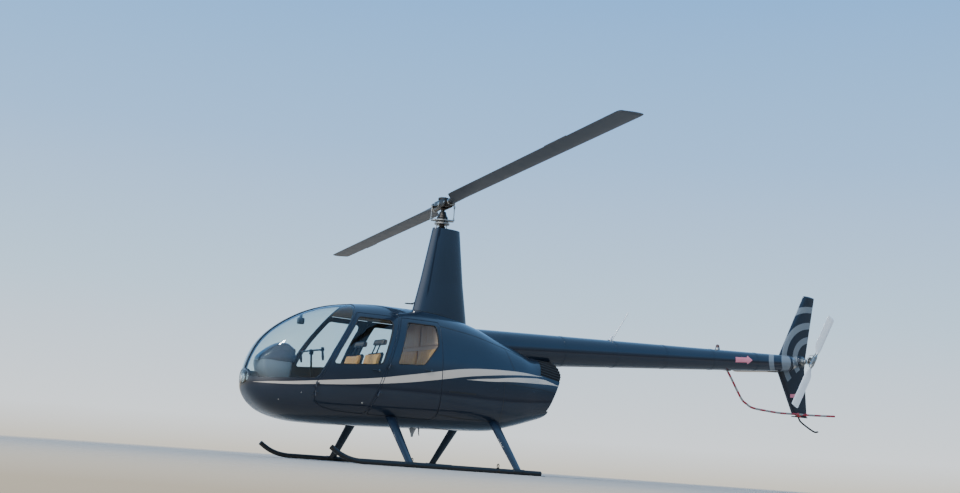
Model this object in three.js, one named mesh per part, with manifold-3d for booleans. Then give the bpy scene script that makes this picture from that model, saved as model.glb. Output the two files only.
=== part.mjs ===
// A light four-seat piston helicopter on skids: two-bladed teetering main rotor on a tall faired mast,
// two-bladed tail rotor on the port side, four hinged cabin doors.
// Millimetres, +Z up, nose towards -X, starboard towards +Y. The group's origin is on the ground,
// half way between the nose and the end of the tail guard; all sizes below are from the mast's axis.
import * as THREE from "three";
import { mergeVertices } from "three/addons/utils/BufferGeometryUtils.js";
import Module from "manifold-3d";

const wasm = await Module();
wasm.setup();

// Driving dimensions
const ROTOR_RADIUS = 5030;
const ROTOR_CHORD = 254;
const ROTOR_AZIMUTH = -98; // degrees, from aft towards starboard, of the blade that parks on the port side
const TEETER_Z = 3215;
const MAST_TO_TAIL_ROTOR = 5893;
const TAIL_ROTOR_RADIUS = 737;
const TAIL_ROTOR_Z = 1860;
const TAIL_ROTOR_Y = -330;
const TAIL_ROTOR_ANGLE = 62; // degrees, from aft towards up, of the first tail blade as parked
const SKID_Y = 1092; // half the skid track
const NOSE_X = -2360;
const GUARD_END_X = 6770;
const FLOOR_Z = 600;
const WALL = 30; // doors and cabin walls
const COWL = 25; // engine bay panels
const SEAT_GAP = 0.3; // between pieces that touch
const DOOR_GAP = 8; // round every door
const CABIN_END_X = -160;
const SKIN_SIDES = 32;

// Body sections, one row each: x, half width, top, height of the widest point, bottom
const STATIONS = [
  [NOSE_X, 60, 915, 860, 805],
  [-2340, 150, 1005, 860, 735],
  [-2295, 250, 1140, 870, 655],
  [-2215, 345, 1290, 890, 570],
  [-2080, 435, 1440, 910, 490],
  [-1900, 510, 1575, 930, 440],
  [-1680, 570, 1695, 940, 415],
  [-1400, 615, 1790, 950, 412],
  [-1100, 635, 1840, 950, 420],
  [-750, 640, 1862, 950, 430],
  [-400, 640, 1862, 950, 442],
  [-160, 635, 1850, 950, 450],
  [150, 615, 1815, 950, 462],
  [450, 585, 1745, 950, 472],
  [750, 545, 1640, 950, 490],
  [1050, 495, 1540, 950, 560],
  [1300, 440, 1462, 950, 635],
  [1500, 405, 1450, 950, 700],
  [1600, 390, 1445, 950, 735],
  [1700, 372, 1430, 950, 765],
];
const UPPER_POWER = 2.4; // roundness of a section above its widest point
const LOWER_POWER = 2.8; // and below it
const REAR_FACE = [[1072, 0], [1674, 1250], [1664, 1350], [1600, 1440], [1540, 1500]]; // x, z, going up
const NOSE_BLEND_X = -1300; // behind this a wall has no thickness lengthwise

// Tail boom: x, centre height, radius
const BOOM_START = [500, 1508, 225];
const BOOM_END = [5720, 1821, 114];

// Side outlines, x and z, of what is cut in the body's side
const WINDSHIELD_OUTLINE = [
  [-2500, 868], [-2300, 868], [-2170, 870], [-1975, 883], [-1766, 899], [-1700, 906], [-1672, 925],
  [-1650, 960], [-1582, 1094], [-1508, 1244], [-1418, 1398], [-1318, 1558], [-1218, 1724], [-1184, 1791],
  [-1170, 1825], [-1170, 1950], [-2500, 1950],
];
const FRONT_DOOR_OUTLINE = [
  [-1552, 1094], [-1620, 953], [-1690, 850], [-1690, 700], [-1672, 648], [-1600, 604], [-1500, 580],
  [-1400, 568], [-1230, 562], [-1071, 560], [-688, 1700], [-1202, 1700], [-1288, 1558], [-1388, 1398],
  [-1478, 1244],
];
const REAR_DOOR_OUTLINE = [
  [-1034, 560], [-215, 560], [-172, 600], [-166, 1700], [-652, 1700],
];
const FRONT_WINDOW_OUTLINE = [
  [-1508, 1104], [-1498, 1082], [-1470, 1080], [-1332, 1090], [-1069, 1113], [-960, 1125], [-925, 1150],
  [-775, 1605], [-800, 1655], [-1175, 1655], [-1200, 1638], [-1250, 1558], [-1352, 1398], [-1442, 1244],
];
const REAR_WINDOW_OUTLINE = [
  [-745, 1145], [-410, 1168], [-385, 1185], [-220, 1400], [-205, 1430], [-205, 1635], [-225, 1655],
  [-570, 1655], [-590, 1640],
];
const DOOR_DEPTH_Y = [-720, -130]; // the side cuts run between these
const GLASS = { inset: 8, thickness: 6, edge: 0.5 };

// Materials
const paint = (color, roughness, metalness) => new THREE.MeshStandardMaterial({ color, roughness, metalness });
const navyPaint = paint(0x1d2c42, 0.25, 0.1);
const interiorGrey = paint(0x3a3d42, 0.8, 0);
const tanLeather = paint(0xa38a68, 0.7, 0);
const darkMetal = paint(0x4a4744, 0.5, 0.8);
const bareMetal = paint(0xb8b8b6, 0.35, 0.9);
const bladePaint = paint(0x9aa0a6, 0.5, 0.1);
const clearPlastic = new THREE.MeshStandardMaterial({
  color: 0xbcd0da, roughness: 0.05, metalness: 0, transparent: true, opacity: 0.3,
});
const lampLens = paint(0xe8e8e2, 0.1, 0);
const whitePaint = paint(0xe9ebec, 0.4, 0);
const redPaint = paint(0xb3202a, 0.4, 0);

const craft = new THREE.Group();
craft.position.x = -(NOSE_X + GUARD_END_X) / 2;

// Turns a closed geometry into a solid that can be cut and joined
function solid(geometry) {
  const bare = geometry.index ? geometry.toNonIndexed() : geometry.clone();
  bare.deleteAttribute("normal");
  bare.deleteAttribute("uv");
  const merged = mergeVertices(bare, 1e-3);
  return new wasm.Manifold(new wasm.Mesh({
    numProp: 3,
    vertProperties: new Float32Array(merged.attributes.position.array),
    triVerts: new Uint32Array(merged.index.array),
  }));
}

function geometryOf(made) {
  const mesh = made.getMesh();
  const geometry = new THREE.BufferGeometry();
  geometry.setAttribute("position", new THREE.BufferAttribute(new Float32Array(mesh.vertProperties), 3));
  geometry.setIndex(new THREE.BufferAttribute(new Uint32Array(mesh.triVerts), 1));
  geometry.computeVertexNormals();
  return geometry;
}

function add(name, made, material) {
  const mesh = new THREE.Mesh(made.isBufferGeometry ? made : geometryOf(made), material);
  mesh.name = name;
  craft.add(mesh);
  return mesh;
}

// Port and starboard copies of one port piece
function addPair(name, made, material) {
  add(`${name}_left`, made, material);
  add(`${name}_right`, mirrored(made), material);
}

function mirrored(made) {
  const geometry = geometryOf(made);
  geometry.scale(1, -1, 1);
  const index = geometry.index.array;
  for (let i = 0; i < index.length; i += 3) {
    [index[i + 1], index[i + 2]] = [index[i + 2], index[i + 1]];
  }
  return solid(geometry);
}

// A closed skin over rings of equal length
function loft(rings) {
  const count = rings[0].length;
  const points = rings.flat();
  const positions = points.flatMap((p) => [p.x, p.y, p.z]);
  const faces = [];
  for (let r = 0; r + 1 < rings.length; r++) {
    for (let i = 0; i < count; i++) {
      const a = r * count + i;
      const b = r * count + ((i + 1) % count);
      faces.push(a, b, a + count, b, b + count, a + count);
    }
  }
  for (const [start, first] of [[0, true], [(rings.length - 1) * count, false]]) {
    const centre = positions.length / 3;
    const ring = points.slice(start, start + count);
    const middle = ring.reduce((sum, p) => sum.add(p), new THREE.Vector3()).divideScalar(count);
    positions.push(middle.x, middle.y, middle.z);
    for (let i = 0; i < count; i++) {
      const a = start + i;
      const b = start + ((i + 1) % count);
      faces.push(...(first ? [centre, b, a] : [centre, a, b]));
    }
  }
  const geometry = new THREE.BufferGeometry();
  geometry.setAttribute("position", new THREE.Float32BufferAttribute(positions, 3));
  geometry.setIndex(faces);
  const made = solid(geometry);
  if (made.volume() > 0) return made;
  for (let i = 0; i < faces.length; i += 3) [faces[i + 1], faces[i + 2]] = [faces[i + 2], faces[i + 1]];
  geometry.setIndex(faces);
  return solid(geometry);
}

function box(x0, x1, y0, y1, z0, z1) {
  const geometry = new THREE.BoxGeometry(x1 - x0, y1 - y0, z1 - z0);
  geometry.translate((x0 + x1) / 2, (y0 + y1) / 2, (z0 + z1) / 2);
  return solid(geometry);
}

function outlineShape(points) {
  const shape = new THREE.Shape();
  points.forEach(([a, b], i) => (i ? shape.lineTo(a, b) : shape.moveTo(a, b)));
  shape.closePath();
  return shape;
}

// A side outline, x and z, extruded between two y
function sidePrism(points, y0, y1) {
  const geometry = new THREE.ExtrudeGeometry(outlineShape(points), { depth: y1 - y0, bevelEnabled: false });
  geometry.rotateX(Math.PI / 2);
  geometry.translate(0, y1, 0);
  return solid(geometry);
}

// A front outline, y and z, extruded between two x
function frontPrism(points, x0, x1) {
  const geometry = new THREE.ExtrudeGeometry(outlineShape(points), { depth: x1 - x0, bevelEnabled: false });
  const basis = new THREE.Matrix4().makeBasis(
    new THREE.Vector3(0, 1, 0), new THREE.Vector3(0, 0, 1), new THREE.Vector3(1, 0, 0));
  geometry.applyMatrix4(basis);
  geometry.translate(x0, 0, 0);
  return solid(geometry);
}

function rod(from, to, radius, sides = 12, endRadius = radius) {
  const a = new THREE.Vector3(...from);
  const b = new THREE.Vector3(...to);
  const along = b.clone().sub(a);
  const geometry = new THREE.CylinderGeometry(endRadius, radius, along.length(), sides);
  geometry.applyQuaternion(new THREE.Quaternion().setFromUnitVectors(
    new THREE.Vector3(0, 1, 0), along.clone().normalize()));
  geometry.translate((a.x + b.x) / 2, (a.y + b.y) / 2, (a.z + b.z) / 2);
  return solid(geometry);
}

// A round tube along a smooth path
function tube(points, radius, sides, steps) {
  const path = new THREE.CatmullRomCurve3(points.map((p) => new THREE.Vector3(...p)), false, "centripetal");
  const ring = new THREE.Shape();
  for (let i = 0; i < sides; i++) {
    const turn = (2 * Math.PI * i) / sides;
    ring[i ? "lineTo" : "moveTo"](radius * Math.cos(turn), radius * Math.sin(turn));
  }
  ring.closePath();
  return solid(new THREE.ExtrudeGeometry(ring, { steps, extrudePath: path, bevelEnabled: false }));
}

const joined = (...solids) => solids.reduce((whole, piece) => whole.add(piece));

// An outline moved outwards by a distance, for a gap or a smaller pane
function grown(points, distance) {
  const count = points.length;
  const area = points.reduce((sum, [x, z], i) => {
    const [nextX, nextZ] = points[(i + 1) % count];
    return sum + x * nextZ - nextX * z;
  }, 0);
  const side = Math.sign(area) * distance;
  const edges = points.map(([x, z], i) => {
    const [nextX, nextZ] = points[(i + 1) % count];
    const length = Math.hypot(nextX - x, nextZ - z);
    const normal = [(nextZ - z) / length, -(nextX - x) / length];
    return { x: x + normal[0] * side, z: z + normal[1] * side, dx: (nextX - x) / length, dz: (nextZ - z) / length };
  });
  return edges.map((edge, i) => {
    const before = edges[(i + count - 1) % count];
    const cross = before.dx * edge.dz - before.dz * edge.dx;
    if (Math.abs(cross) < 1e-6) return [edge.x, edge.z];
    const t = ((edge.x - before.x) * edge.dz - (edge.z - before.z) * edge.dx) / cross;
    return [before.x + before.dx * t, before.z + before.dz * t];
  });
}

// The body's whole outer form, with its skin moved inwards
function bodyForm(inset) {
  const rings = STATIONS.map(([x, halfWidth, top, widest, bottom]) => {
    const nose = THREE.MathUtils.clamp((NOSE_BLEND_X - x) / (NOSE_BLEND_X - NOSE_X), 0, 1);
    const ring = [];
    for (let i = 0; i < SKIN_SIDES; i++) {
      const turn = (2 * Math.PI * (i + 0.5)) / SKIN_SIDES;
      const power = 2 / (Math.sin(turn) > 0 ? UPPER_POWER : LOWER_POWER);
      const across = Math.sign(Math.cos(turn)) * Math.abs(Math.cos(turn)) ** power;
      const up = Math.sign(Math.sin(turn)) * Math.abs(Math.sin(turn)) ** power;
      const rise = (up > 0 ? top - widest : widest - bottom) - inset;
      ring.push(new THREE.Vector3(x + inset * nose, (halfWidth - inset) * across, widest + Math.max(rise, 5) * up));
    }
    return ring;
  });
  const far = 2500;
  const edge = REAR_FACE.map(([x, z]) => [x - inset, z]);
  const rearCut = sidePrism([...edge, [far, REAR_FACE.at(-1)[1]], [far, 0]], -far, far);
  return loft(rings).subtract(rearCut);
}

const outer = bodyForm(0);
const around = bodyForm(-SEAT_GAP);
const wallInside = bodyForm(WALL);
const wall = outer.subtract(wallInside);
const doorPocket = bodyForm(-60).subtract(bodyForm(WALL + DOOR_GAP));
const glassLayer = bodyForm(GLASS.inset).subtract(bodyForm(GLASS.inset + GLASS.thickness));

const halfSpace = (x0, x1, z0, z1, y0 = -900, y1 = 900) => box(x0, x1, y0, y1, z0, z1);
const onSide = (outline) => sidePrism(outline, ...DOOR_DEPTH_Y);

// Doors: the full wall with its window cut, hung on knuckles outside its front edge. Each hinge is two
// points on its axis, in x, y and z, low then high, and its knuckle pairs sit at those points.
const FRONT_HINGE = { low: [-1694, -578, 735], high: [-1694, -578, 830] };
const REAR_HINGE = { low: [-961, -650, 790], high: [-854, -650, 1110] };
const KNUCKLE = { radius: 8, length: 32, doorReach: 34, bodyReach: 18 };

// Cabin structure: what is left of the wall round the doors and windshields
const doorCuts = [FRONT_DOOR_OUTLINE, REAR_DOOR_OUTLINE].map((o) => onSide(grown(o, DOOR_GAP)).intersect(doorPocket));
const bothDoorCuts = joined(...doorCuts, ...doorCuts.map(mirrored));
const CENTRE_STRIP = 22; // half width of the strip between the windshields
const LAMP = { halfY: 150, halfZ: 80, z: 863, rim: 22, depthX: [-2500, -2290] }; // oval at the nose tip
const lampOval = (extra) => frontPrism(
  Array.from({ length: 20 }, (_, i) => [
    (LAMP.halfY + extra) * Math.cos((Math.PI * i) / 10), LAMP.z + (LAMP.halfZ + extra) * Math.sin((Math.PI * i) / 10)]),
  ...LAMP.depthX);
const lampRim = lampOval(LAMP.rim);
const windshieldCut = sidePrism(WINDSHIELD_OUTLINE, -900, -CENTRE_STRIP).subtract(lampRim);
const bothWindshieldCuts = joined(windshieldCut, mirrored(windshieldCut));
const cabinWall = wall
  .intersect(halfSpace(-2500, CABIN_END_X - SEAT_GAP, FLOOR_Z + SEAT_GAP, 2000))
  .subtract(bothDoorCuts)
  .subtract(bothWindshieldCuts);

// Where the wall is split into real pieces
const POST_FOOT_Z = 925;
const ROOF_Z = 1706;
const ROOF_FRONT_X = -1170;
const roofCorner = box(-1300, ROOF_FRONT_X, -900, -60, ROOF_Z, 2000);
const roofZone = joined(
  halfSpace(ROOF_FRONT_X, CABIN_END_X, ROOF_Z, 2000), roofCorner, mirrored(roofCorner),
);
const stripZone = box(-2500, ROOF_FRONT_X - SEAT_GAP, -60, 60, 868 + SEAT_GAP, 2000)
  .subtract(lampOval(LAMP.rim + SEAT_GAP));
const noseZone = joined(
  halfSpace(-2500, -2100, FLOOR_Z, 868),
  halfSpace(-2100, -1500, FLOOR_Z, POST_FOOT_Z),
  lampRim,
);
const frontPostZone = box(-2100, -1150, -900, -60.3, POST_FOOT_Z + SEAT_GAP, ROOF_Z - SEAT_GAP);
const midPostZone = box(-1150, -560, -900, 0, FLOOR_Z, ROOF_Z - SEAT_GAP);

function buildCabin() {
  const belly = outer
    .intersect(halfSpace(-2500, CABIN_END_X - SEAT_GAP, 0, FLOOR_Z))
    .subtract(bothDoorCuts);
  add("belly", belly, navyPaint);
  const noseKnuckle = knuckleSet(FRONT_HINGE, -1);
  const nose = cabinWall.intersect(noseZone).subtract(lampOval(0));
  add("nose_panel", joined(nose, noseKnuckle, mirrored(noseKnuckle)), navyPaint);
  add("landing_lamps", bodyForm(2).intersect(lampOval(-SEAT_GAP)).subtract(wallInside), lampLens);
  add("roof", cabinWall.intersect(roofZone), navyPaint);
  add("windshield_strip", cabinWall.intersect(stripZone), navyPaint);
  addPair("front_post", cabinWall.intersect(frontPostZone), navyPaint);
  addPair("middle_post", cabinWall.intersect(midPostZone).add(knuckleSet(REAR_HINGE, -1)), navyPaint);
  const pane = sidePrism(grown(WINDSHIELD_OUTLINE, -GLASS.edge), -900, -CENTRE_STRIP - GLASS.edge)
    .subtract(lampOval(LAMP.rim + GLASS.edge));
  addPair("windshield", glassLayer.intersect(pane), clearPlastic);
  const bulkhead = bodyForm(COWL + SEAT_GAP).intersect(halfSpace(CABIN_END_X + 2, -115, 560.3, 1780));
  add("rear_bulkhead", bulkhead, interiorGrey);
}

// Doors
const HANDLE = { front: [-1010, 1050], rear: [-348, 1110], length: 95, height: 22, depth: 16 };
const DOOR_SWEEP = [0.5, 1, 1.5, 2, 2.5, 3, 4, 6, 9, 13, 17, 22, 28, 34, 40, 46]; // degrees

function alongHinge(hinge, at, shift) {
  const low = new THREE.Vector3(...hinge.low);
  const axis = new THREE.Vector3(...hinge.high).sub(low).normalize();
  return new THREE.Vector3(...at).addScaledVector(axis, shift);
}

// One side of each knuckle pair with the leaf that runs back to the skin: 1 for the door's, -1 for the body's
function knuckleSet(hinge, side) {
  const pieces = ["low", "high"].map((end) => {
    const at = hinge[end];
    const from = alongHinge(hinge, at, side > 0 ? SEAT_GAP / 2 : -KNUCKLE.length - SEAT_GAP / 2);
    const to = alongHinge(hinge, at, side > 0 ? KNUCKLE.length + SEAT_GAP / 2 : -SEAT_GAP / 2);
    const drum = rod(from.toArray(), to.toArray(), KNUCKLE.radius, 10);
    const middle = from.clone().add(to).multiplyScalar(0.5);
    const leafX = side > 0
      ? [middle.x, middle.x + KNUCKLE.doorReach]
      : [middle.x - KNUCKLE.bodyReach, middle.x];
    const leaf = box(...leafX, middle.y - 5, middle.y + 45, middle.z - 9, middle.z + 9);
    return drum.add(leaf);
  });
  return joined(...pieces);
}

// The door without what its neighbours would sweep through as it opens
function openingFreely(door, hinge, fixed) {
  const low = new THREE.Vector3(...hinge.low);
  const axis = new THREE.Vector3(...hinge.high).sub(low).normalize();
  let left = door;
  for (const degrees of DOOR_SWEEP) {
    const turn = new THREE.Matrix4().makeTranslation(low.x, low.y, low.z)
      .multiply(new THREE.Matrix4().makeRotationAxis(axis, THREE.MathUtils.degToRad(degrees)))
      .multiply(new THREE.Matrix4().makeTranslation(-low.x, -low.y, -low.z));
    left = left.subtract(solid(geometryOf(fixed).applyMatrix4(turn)));
  }
  return left;
}

function buildDoors() {
  const sill = bodyForm(-1).intersect(halfSpace(-1200, 0, 0, 558, -900, 0));
  const rearJamb = bodyForm(-1).intersect(halfSpace(-165, 200, 500, 1705, -900, 0));
  const doors = [
    ["front_door", FRONT_DOOR_OUTLINE, FRONT_WINDOW_OUTLINE, FRONT_HINGE, HANDLE.front, null],
    ["rear_door", REAR_DOOR_OUTLINE, REAR_WINDOW_OUTLINE, REAR_HINGE, HANDLE.rear, sill.add(rearJamb)],
  ];
  for (const [name, outline, window, hinge, handle, neighbours] of doors) {
    let door = onSide(outline).intersect(wall);
    if (neighbours) door = openingFreely(door, hinge, neighbours);
    const [handleX, handleZ] = handle;
    const grip = bodyForm(-HANDLE.depth).subtract(bodyForm(2)).intersect(box(handleX - HANDLE.length / 2,
      handleX + HANDLE.length / 2, -900, 0, handleZ - HANDLE.height / 2, handleZ + HANDLE.height / 2));
    door = door.subtract(onSide(window)).add(knuckleSet(hinge, 1)).add(grip);
    addPair(name, door, navyPaint);
    addPair(`${name}_window`, onSide(grown(window, -GLASS.edge)).intersect(glassLayer), clearPlastic);
  }
}

// Engine bay: one shell from the cabin's end to the slanted rear face, the boom let into it
const boomRings = (extra, from, to) => [from, to].map((x) => {
  const share = (x - BOOM_START[0]) / (BOOM_END[0] - BOOM_START[0]);
  const z = THREE.MathUtils.lerp(BOOM_START[1], BOOM_END[1], share);
  const radius = THREE.MathUtils.lerp(BOOM_START[2], BOOM_END[2], share) + extra;
  return Array.from({ length: 24 }, (_, i) => new THREE.Vector3(
    x, radius * Math.cos((Math.PI * i) / 12), z + radius * Math.sin((Math.PI * i) / 12)));
});
const boomForm = (extra, from = BOOM_START[0], to = BOOM_END[0]) => loft(boomRings(extra, from, to));
const GRILLE_OUTLINE = [[1325, 1222], [1625, 1166], [1800, 1150], [1800, 1520], [1392, 1520], [1388, 1433]];
const LOUVRE = { start: [1200, 1262], fall: 0.18, step: 38, height: 16, count: 6 }; // x, z where the lowest starts
const ENGINE = { x: [0, 780], y: 390, z: [470, 1050] };

function buildAftBody() {
  const grilleZone = sidePrism(GRILLE_OUTLINE, -900, 900);
  const boomHole = boomForm(SEAT_GAP, BOOM_START[0] - 60);
  const shell = outer
    .subtract(bodyForm(COWL).intersect(halfSpace(-400, 3000, 0, 2000)))
    .intersect(halfSpace(CABIN_END_X, 3000, 0, 2000))
    .subtract(boomHole);
  add("engine_cowl", shell.subtract(grilleZone), navyPaint);
  const blades = [];
  const zone = outer.subtract(bodyForm(COWL)).intersect(sidePrism(grown(GRILLE_OUTLINE, -SEAT_GAP), -900, 900))
    .subtract(boomHole);
  const frame = zone.subtract(sidePrism(grown(GRILLE_OUTLINE, -22), -900, 900));
  const [louvreX, louvreZ] = LOUVRE.start;
  for (let i = 0; i < LOUVRE.count; i++) {
    const front = louvreZ + i * LOUVRE.step;
    const rear = front - (1900 - louvreX) * LOUVRE.fall;
    blades.push(zone.intersect(sidePrism(
      [[louvreX, front], [1900, rear], [1900, rear + LOUVRE.height], [louvreX, front + LOUVRE.height]], -900, 900)));
  }
  add("rear_grille", joined(zone.intersect(bodyForm(15)), frame, ...blades), paint(0x0c0d0f, 0.5, 0.2));
  const block = bodyForm(COWL + SEAT_GAP)
    .intersect(halfSpace(...ENGINE.x, ...ENGINE.z, -ENGINE.y, ENGINE.y));
  add("engine_block", block, darkMetal);
  add("tailboom", boomForm(0), navyPaint);
}

// Mast fairing sections, one row each: height, front x, rear x, half width
const FAIRING = [
  [1700, -345, 452, 118],
  [2250, -235, 352, 96],
  [2915, -120, 255, 74],
];

const fairingForm = (extra) => loft(FAIRING.map(([z, front, rear, halfWidth]) => (
  Array.from({ length: 20 }, (_, i) => {
    const turn = (2 * Math.PI * i) / 20;
    const along = (1 - Math.cos(turn)) / 2;
    const side = Math.sign(Math.sin(turn)) * Math.abs(Math.sin(turn)) ** 1.1;
    const x = front - extra + (rear - front + 2 * extra) * along;
    return new THREE.Vector3(x, (halfWidth + extra) * side * (1.12 - 0.35 * along), z);
  }))));

function buildMast() {
  add("mast_fairing", fairingForm(0).subtract(around), navyPaint);
  const mast = joined(
    rod([0, 0, 2915.3], [0, 0, 3000], 34, 16),
    rod([0, 0, 2962], [0, 0, 2990], 96, 20),
    ...[[-70, 0], [35, 61], [35, -61]].map(([x, y]) => rod([x, y, 2915.3], [x, y, 2970], 7, 8)),
  );
  add("mast_and_lower_swashplate", mast, darkMetal);
}

const parked = (made, name, material) => {
  const geometry = made.isBufferGeometry ? made : geometryOf(made);
  geometry.rotateZ(THREE.MathUtils.degToRad(ROTOR_AZIMUTH));
  add(name, geometry, material);
};

// Half thickness of a blade section at shares of its chord
const AIRFOIL = [[0, 0], [0.03, 0.3], [0.12, 0.44], [0.3, 0.5], [0.6, 0.38], [1, 0.04]];

// Rings of a blade, span along +X, leading edge towards +Y; each row: x, leading y, chord, thickness
function bladeForm(rows) {
  return loft(rows.map(([x, leading, chord, thickness]) => [
    ...AIRFOIL.map(([share, half]) => new THREE.Vector3(x, leading - chord * share, thickness * half)),
    ...AIRFOIL.slice(1).reverse().map(([share, half]) => (
      new THREE.Vector3(x, leading - chord * share, -thickness * half))),
  ]));
}

const HUB = { arm: 300, halfWidth: 60, halfHeight: 46, slot: [46, 34] };
const LINK = { x: 45, y: 132, radius: 7 };
const BLADE_ROWS = [
  [HUB.arm + SEAT_GAP, 55, 110, 60],
  [420, 60, 125, 52],
  [640, 64, ROTOR_CHORD, 30],
  [ROTOR_RADIUS - 60, 64, ROTOR_CHORD, 28],
  [ROTOR_RADIUS, 52, ROTOR_CHORD - 22, 22],
];

function buildMainRotor() {
  const links = [1, -1].map((s) => joined(
    rod([s * LINK.x, s * LINK.y, 3020], [s * LINK.x, s * LINK.y, TEETER_Z + 8], LINK.radius, 8),
    box(...[s * LINK.x - 14, s * LINK.x + 14], ...(s > 0 ? [60, LINK.y + 12] : [-LINK.y - 12, -60]), 3008, 3026),
  ));
  const shaft = joined(
    rod([0, 0, 3000.3], [0, 0, TEETER_Z + 24], 22, 16),
    rod([0, 0, 3004], [0, 0, 3030], 92, 20),
    rod([0, -70, TEETER_Z], [0, 70, TEETER_Z], 12, 12),
    ...links,
  );
  parked(shaft, "rotor_shaft_and_links", darkMetal);

  const bore = rod([0, -100, TEETER_Z], [0, 100, TEETER_Z], 13.2, 16);
  const body = box(-HUB.arm, HUB.arm, -HUB.halfWidth, HUB.halfWidth,
    TEETER_Z - HUB.halfHeight, TEETER_Z + HUB.halfHeight);
  const cap = box(-125, 125, -70, 70, TEETER_Z + HUB.halfHeight - 1, TEETER_Z + 95);
  const horns = [1, -1].map((s) => box(s * LINK.x - 16, s * LINK.x + 16,
    ...(s > 0 ? [40, LINK.y - 12] : [12 - LINK.y, -40]), TEETER_Z - 14, TEETER_Z + 12));
  const slot = box(-HUB.slot[0], HUB.slot[0], -HUB.slot[1], HUB.slot[1], TEETER_Z - 90, TEETER_Z + 50);
  parked(joined(body, cap, ...horns).subtract(slot).subtract(bore), "rotor_hub", darkMetal);
  for (const [i, flip] of [0, Math.PI].entries()) {
    const geometry = geometryOf(bladeForm(BLADE_ROWS));
    geometry.rotateZ(flip);
    geometry.translate(0, 0, TEETER_Z);
    parked(geometry, `main_blade_${i + 1}`, bladePaint);
  }
}

// Tail: fins on the starboard side of the boom's end, x and z of their outlines
const FIN_Y = 150;
const FIN_HALF = 22;
const UPPER_FIN = [[5664, 1850.2], [5683, 1950], [6120, 2858], [6160, 2873], [6336, 2850], [6200, 1975], [6193, 1850.2]];
const LOWER_FIN = [[5664, 1849.8], [6193, 1849.8], [6180, 1790], [6258, 1080], [5967, 1116], [5650, 1735]];
const CASTING = { x: [BOOM_END[0] + SEAT_GAP, 5800], z: [1821, 1835], radius: [114, 92] };
const GUARD = [
  [4560, 0, 1700], [4589, 0, 1646], [4690, 4, 1517], [4885, 8, 1256], [4995, 14, 1183],
  [5125, 24, 1138], [5420, 50, 1119], [5700, 90, 1113], [5960, 112.7, 1121], [6280, 112.7, 1128], [6770, 112.7, 1150],
];
const GUARD_RADIUS = 15;
const STABILISER = [ // y, leading x, z, chord
  [FIN_Y + FIN_HALF + SEAT_GAP, 5462, 1702, 300], [860, 5469, 1725, 300], [960, 5520, 1729, 235],
];
const TAIL_SKID = [[6075, 150, 1160], [6098, 150, 1077], [6142, 150, 1022], [6284, 150, 948], [6411, 150, 897],
  [6481, 150, 902]];

function buildTail() {
  const casting = loft([0, 1].map((end) => Array.from({ length: 24 }, (_, i) => new THREE.Vector3(
    CASTING.x[end], CASTING.radius[end] * Math.cos((Math.PI * i) / 12),
    CASTING.z[end] + CASTING.radius[end] * Math.sin((Math.PI * i) / 12)))));
  const bracket = box(5728, 5792, 60, FIN_Y - FIN_HALF - SEAT_GAP, 1795, 1875);
  add("tail_casting", casting.add(bracket), navyPaint);
  const gearbox = joined(
    rod([5800.3, 0, 1842], [5880, 0, 1842], 70, 16),
    rod([MAST_TO_TAIL_ROTOR, -120, TAIL_ROTOR_Z], [MAST_TO_TAIL_ROTOR, 70, TAIL_ROTOR_Z], 78, 18),
    rod([MAST_TO_TAIL_ROTOR, -190, TAIL_ROTOR_Z], [MAST_TO_TAIL_ROTOR, -110, TAIL_ROTOR_Z], 42, 16, 55),
  );
  add("tail_gearbox", gearbox, bareMetal);
  const upper = sidePrism(UPPER_FIN, FIN_Y - FIN_HALF, FIN_Y + FIN_HALF);
  const lower = sidePrism(LOWER_FIN, FIN_Y - FIN_HALF, FIN_Y + FIN_HALF);
  add("upper_fin", upper, navyPaint);
  add("lower_fin", lower, navyPaint);
  const stabiliser = loft(STABILISER.map(([y, x, z, chord]) => [
    ...AIRFOIL.map(([share, half]) => new THREE.Vector3(x + chord * share, y, z + 34 * half)),
    ...AIRFOIL.slice(1).reverse().map(([share, half]) => new THREE.Vector3(x + chord * share, y, z - 34 * half)),
  ]));
  add("horizontal_stabiliser", stabiliser, navyPaint);
  const finHole = sidePrism(
    grown(LOWER_FIN, SEAT_GAP), FIN_Y - FIN_HALF - SEAT_GAP, FIN_Y + FIN_HALF + SEAT_GAP);
  const guard = tube(GUARD, GUARD_RADIUS, 8, 40).subtract(boomForm(SEAT_GAP)).subtract(finHole);
  add("tail_guard", guard, redPaint);
  add("tail_skid", tube(TAIL_SKID, 11, 8, 20).subtract(finHole), darkMetal);
}

function buildTailRotor() {
  const place = (made) => {
    const geometry = geometryOf(made);
    geometry.rotateY(THREE.MathUtils.degToRad(-TAIL_ROTOR_ANGLE));
    geometry.translate(MAST_TO_TAIL_ROTOR, TAIL_ROTOR_Y, TAIL_ROTOR_Z);
    return geometry;
  };
  const shaftReach = -190 - SEAT_GAP - TAIL_ROTOR_Y;
  const hub = joined(
    rod([0, 0, 0], [0, shaftReach, 0], 20, 16),
    box(-120, 120, -24, 24, -34, 34),
    rod([0, 55, 0], [0, 75, 0], 60, 16),
  );
  add("tail_rotor_hub", place(hub), bareMetal);
  for (const [i, flip] of [0, Math.PI].entries()) {
    const blade = geometryOf(bladeForm([
      [120 + SEAT_GAP, 30, 60, 26], [190, 45, 110, 16], [250, 45, 130, 14], [TAIL_ROTOR_RADIUS, 45, 130, 12],
    ]));
    blade.rotateX(-Math.PI / 2);
    blade.rotateY(flip);
    add(`tail_blade_${i + 1}`, place(solid(blade)), whitePaint);
  }
}

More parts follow.
